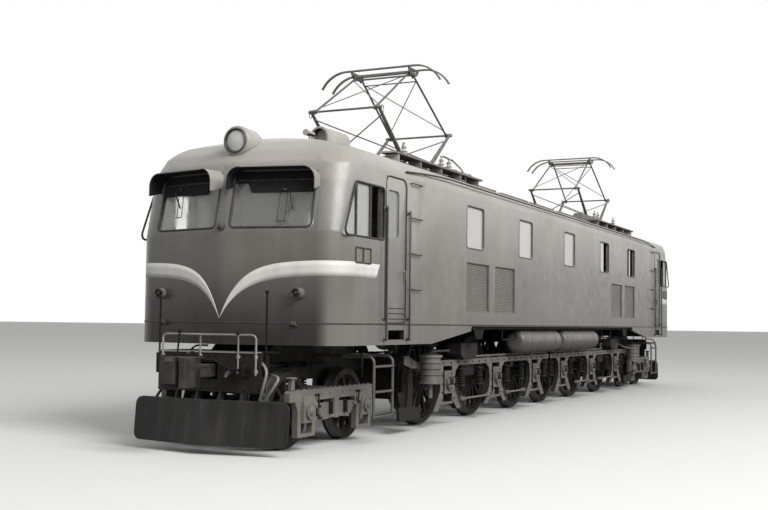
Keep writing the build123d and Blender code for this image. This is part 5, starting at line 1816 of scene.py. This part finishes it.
@dataclass
class LeadTrucks(SubAssembly):
    """The four-wheel leading trucks."""

    frame_y: float = 0.865
    bar_top: float = 0.665
    bolt_gap: float = 0.125
    span: Pair = (6.90, 8.90)
    axles: Pair = (7.130, 8.560)
    axle_z: float = 0.430
    pivot_x: float = 7.845
    side_bolts: tuple[float, ...] = (-0.55, -0.35, -0.16, 0.16, 0.35, 0.55)
    side_bolt_z: float = 0.612
    pin_z: Pair = (0.47, 0.60)
    shackle_x: Pair = (0.49, 0.51)
    shackle_half: float = 0.035
    band_x: float = 0.180
    band_z: Pair = (0.360, 0.515)
    bracket_x: float = 8.855
    bracket_z: Pair = (0.790, 0.815)

    def dress(self) -> None:
        """The paler iron of the leading trucks."""
        for end in ENDS:
            self.skin(f"lead_truck_{end}", LEAD_IRON, edge=0.003)
            for number in (1, 2):
                self.wheelset(f"wheelset_leader_{number}_{end}")

    def bolts(self) -> Patch:
        """Bolts standing along the top bar, and on the faces of the axle boxes.

        Returns:
            The bolts of one truck.
        """
        (_, face, _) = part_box("lead_truck_front")[1]
        x0, x1 = self.span
        standing = [(x, self.frame_y - 0.035, self.bar_top) for x in np.arange(x0 + 0.05, x1, self.bolt_gap)]
        boxes = [(x, face, self.axle_z) for x in self.axles]
        rings = np.concatenate([circle(box, 0.082, ACROSS, 4, math.pi / 4) for box in boxes])
        dome = lathe([(0.055, 0.0), (0.050, 0.012), (0.030, 0.020), (0.006, 0.023)], 20).turned(TO_LEFT)
        side = [(self.pivot_x + shift, self.frame_y, self.side_bolt_z) for shift in self.side_bolts]
        return both_sides(stamped(hex_bolt(0.015), standing), stamped(hex_bolt(0.011).turned(TO_LEFT), rings),
                          stamped(dome, boxes), stamped(hex_bolt(0.012).turned(TO_LEFT), side))

    def hangers(self) -> Patch:
        """Shackles and pins at the ends of the leaf springs, and the bands round their middles.

        Returns:
            The shackles of one truck.
        """
        y, (low, high), (foot_z, head_z) = self.frame_y + 0.005, self.band_z, self.pin_z
        parts = []
        for side in SIDES:
            foot, head = (self.pivot_x + side * x for x in self.shackle_x)
            x = self.pivot_x + side * self.band_x
            parts += [tube([(foot, y + shift, foot_z), (head, y + shift, head_z)], 0.010, 8)
                      for shift in (-self.shackle_half, self.shackle_half)]
            parts += [tube([(pin, y - half, z), (pin, y + half, z)], radius, 12)
                      for pin, z, half, radius in ((foot, foot_z, 0.055, 0.016), (head, head_z, 0.050, 0.014))]
            parts.append(slab((x - 0.012, y - 0.05, low), (x + 0.012, y + 0.05, high), 0.005))
        return both_sides(*parts)

    def guard(self) -> Patch:
        """The upright bracket over the front box and its cap.

        Returns:
            The brackets of one truck.
        """
        x, y, (low, high) = self.bracket_x, self.frame_y - 0.03, self.bracket_z
        return both_sides(slab((x - 0.035, y - 0.03, self.bar_top), (x + 0.035, y + 0.03, low + 0.010), 0.008),
                          slab((x - 0.055, y - 0.045, low), (x + 0.055, y + 0.045, high), 0.006))

    def build(self) -> None:
        """Bolts, shackles and brackets at both ends."""
        for name, patch, finish in (
            ("lead_truck_bolts", self.bolts(), LEAD_IRON),
            ("lead_truck_shackles", self.hangers(), GEAR_IRON),
            ("lead_truck_brackets", self.guard(), LEAD_IRON),
        ):
            self.add_ends(name, patch, finish, Place.LEAD_TRUCK, "cast_iron")


@dataclass
class BodySideFittings(SubAssembly):
    """Handrails and air tanks along the sides."""

    tank_spans: tuple[Pair, Pair] = ((-2.150, 0.050), (0.350, 2.400))
    tank_y: float = 1.195
    tank_z: float = 1.160
    tank_radius: float = 0.190
    rail_x: Pair = (7.040, 7.695)
    rail_y: float = 1.438
    rail_top: float = 2.800
    foot_z: tuple[float, float, float] = (1.235, 1.480, 2.785)
    knob_flat: float = 0.56

    def dress(self) -> None:
        """Dark rails and pale tanks."""
        self.skin("handrails", RAIL_PAINT)
        self.skin("air_tanks", TANK_PAINT)

    def tank_seams(self) -> Patch:
        """Weld seams round the tanks, drain cocks below them and the pipe between each pair.

        Returns:
            The fittings on both sides.
        """
        y, z, radius = self.tank_y, self.tank_z, self.tank_radius
        hoops = [hoop((x, y, z), radius, 0.004, ALONG) for x0, x1 in self.tank_spans
                 for x in (x0 + 0.14, (x0 + x1) / 2, x1 - 0.14)]
        cock = lathe([(0.016, -0.055), (0.022, -0.05), (0.022, -0.02), (0.012, -0.01), (0.012, 0.01)], 12)
        nut = lathe([(0.040, -0.018), (0.040, 0.018)], 6).turned(TO_FRONT)
        (_, first), (second, _) = self.tank_spans
        return both_sides(*hoops, stamped(cock, [(sum(span) / 2 + 0.2, y, z - radius) for span in self.tank_spans]),
                          tube([(first - 0.03, y, z), (second + 0.03, y, z)], 0.024, 12),
                          stamped(nut, [(first + 0.01, y, z), (second - 0.01, y, z)]))

    def rail_ends(self) -> Patch:
        """Flattened knobs on the handrails, no further out than the rails, and flanges at their feet.

        Returns:
            Knobs and flanges at all four corners.
        """
        knob = lathe([(0.004, -0.030), (0.016, -0.026), (0.022, -0.010), (0.022, 0.006), (0.014, 0.020),
                      (0.003, 0.026)], 16).turned(np.diag((1.0, self.knob_flat, 1.0)))
        flange = lathe([(0.028, 0.0), (0.028, 0.005), (0.014, 0.010)], 16).turned(TO_LEFT)
        feet = [(x, BODY_HALF_WIDTH, z) for x in self.rail_x for z in self.foot_z]
        return all_corners(stamped(knob, [(x, self.rail_y, self.rail_top) for x in self.rail_x]),
                           stamped(flange, feet))

    def build(self) -> None:
        """Tank seams and pipes, handrail knobs."""
        self.add("tank_fittings", self.tank_seams(), TANK_PAINT, "tank_paint", Shading.SMOOTH)
        self.add("handrail_knobs", self.rail_ends(), RAIL_PAINT, "frame_paint", Shading.SMOOTH)


@dataclass
class NoseFittings(SubAssembly):
    """Small parts on the nose: the pillar's knob and step brackets."""

    knob_z: float = 2.500
    bracket_y: float = 0.884
    bracket_z: float = 1.392

    def dress(self) -> None:
        """Nothing of its own in the solids."""

    def build(self) -> None:
        """The round knob under the pillar and two folded brackets near the skirt, at both ends."""
        knob = lathe([(0.030, 0.0), (0.046, 0.008), (0.046, 0.030), (0.028, 0.046), (0.006, 0.050)]).turned(TO_FRONT)
        knob = knob.moved((nose_x(0.0, self.knob_z) - 0.010, 0.0, self.knob_z))
        y, z = self.bracket_y, self.bracket_z
        face = nose_x(y, z)
        brackets = both_sides(slab((face - 0.012, y - 0.035, z - 0.012), (face + 0.05, y + 0.035, z + 0.010), 0.005),
                              slab((face + 0.036, y - 0.035, z - 0.012), (face + 0.050, y + 0.035, z + 0.045), 0.004))
        self.add("nose_fittings", both_ends(knob, brackets), RAIL_PAINT, "body_paint")


# Studio


@dataclass
class Studio:
    """Camera, floor, lights and surroundings."""

    eye: Point = (19.57, 7.12, 1.457)
    yaw: float = 26.41
    pitch: float = 3.15
    roll: float = 0.72
    focal: float = 1115.0
    width: int = 768
    centre: Pair = (384.0, 255.0)
    principal: Pair = (370.9, 261.5)
    sensor: float = 36.0
    floor_reach: float = 400.0
    floor_light: float = 0.22
    key_place: Point = (19.0, 27.0, 22.0)
    key_target: Point = (2.0, 0.0, 2.0)
    key_size: float = 18.0
    key_power: float = 13500.0
    sky_light: float = 0.42

    def placed(self, name: str, data: bpy.types.ID, *columns: Sequence[float]) -> bpy.types.Object:
        """An object for a camera, lamp or mesh, with its three axes and its place where they are given.

        Args:
            name: Name of the object.
            data: The camera, lamp or mesh.
            *columns: Its three axes and its place, or none.

        Returns:
            The object.
        """
        thing = bpy.data.objects.new(name, data)
        if columns:
            turn = np.eye(4)
            turn[:3] = np.stack(columns, axis=1)
            thing.matrix_world = Matrix(turn.tolist())
        bpy.context.scene.collection.objects.link(thing)
        return thing

    def camera(self) -> None:
        """A camera at the photograph's viewpoint, with its slight tilt."""
        yaw, pitch, roll = map(math.radians, (self.yaw, self.pitch, self.roll))
        ahead = np.array((-math.cos(yaw) * math.cos(pitch), -math.sin(yaw) * math.cos(pitch), math.sin(pitch)))
        level = unit(np.cross(ahead, (0.0, 0.0, 1.0)))
        above = np.cross(level, ahead)
        right = math.cos(roll) * level + math.sin(roll) * above
        above = math.cos(roll) * above - math.sin(roll) * level
        lens = bpy.data.cameras.new("camera")
        lens.sensor_width = self.sensor
        lens.lens = self.focal / self.width * self.sensor
        lens.shift_x = (self.centre[0] - self.principal[0]) / self.width
        lens.shift_y = (self.principal[1] - self.centre[1]) / self.width
        lens.clip_end = 500.0
        bpy.context.scene.camera = self.placed("camera", lens, right, above, -ahead, self.eye)

    def floor(self) -> None:
        """A wide pale floor at the height of the flange tips."""
        span = (-self.floor_reach, self.floor_reach)
        mesh = bpy.data.meshes.new("floor")
        mesh.from_pydata([(x, y, 0.0) for x, y in rectangle(span, span)], [], [(0, 1, 2, 3)])
        material = bpy.data.materials.new("studio floor")
        sketch = NodeSketch(material)
        seen = sketch.node("LightPath", "Is Camera Ray", {})
        sketch.put(Base_Color=sketch.blend(seen, (self.floor_light,) * 3, (0.80, 0.80, 0.79)), Roughness=0.9)
        mesh.materials.append(material)
        self.placed("floor", mesh)

    def light(self) -> None:
        """One large square soft light over the near side."""
        lamp = bpy.data.lights.new("key light", "AREA")
        lamp.size = self.key_size
        lamp.energy = self.key_power
        back = unit(np.subtract(self.key_place, self.key_target))
        side = unit(np.cross((0.0, 0.0, 1.0), back))
        self.placed("key light", lamp, side, np.cross(back, side), back, self.key_place)

    def surroundings(self) -> None:
        """An even pale sky: white where the camera sees it, softer in what it lights."""
        world = bpy.data.worlds.new("studio sky")
        sketch = NodeSketch(world, "Background")
        seen = (sketch.node("LightPath", f"Is {ray} Ray", {}) for ray in ("Camera", "Glossy"))
        sketch.put(Strength=sketch.ramp(sketch.math("MAXIMUM", *seen), 0.0, 1.0, self.sky_light, 1.0),
                   Color=(1.0, 1.0, 1.0))
        bpy.context.scene.world = world

    def build(self) -> None:
        """Sets up the studio."""
        self.camera()
        self.floor()
        self.light()
        self.surroundings()
        bpy.context.scene.view_settings.view_transform = "Standard"


def main() -> None:
    """Builds the locomotive's looks and the studio."""
    logging.basicConfig(level=logging.INFO, format="%(name)s %(message)s")
    for part in (BodyShell(), NoseFittings(), Glazing(), Lamps(), RoofEquipment(), MainTrucks(), LeadTrucks(),
                 BodySideFittings()):
        part.make()
    Studio().build()


if __name__ == "__main__":
    main()
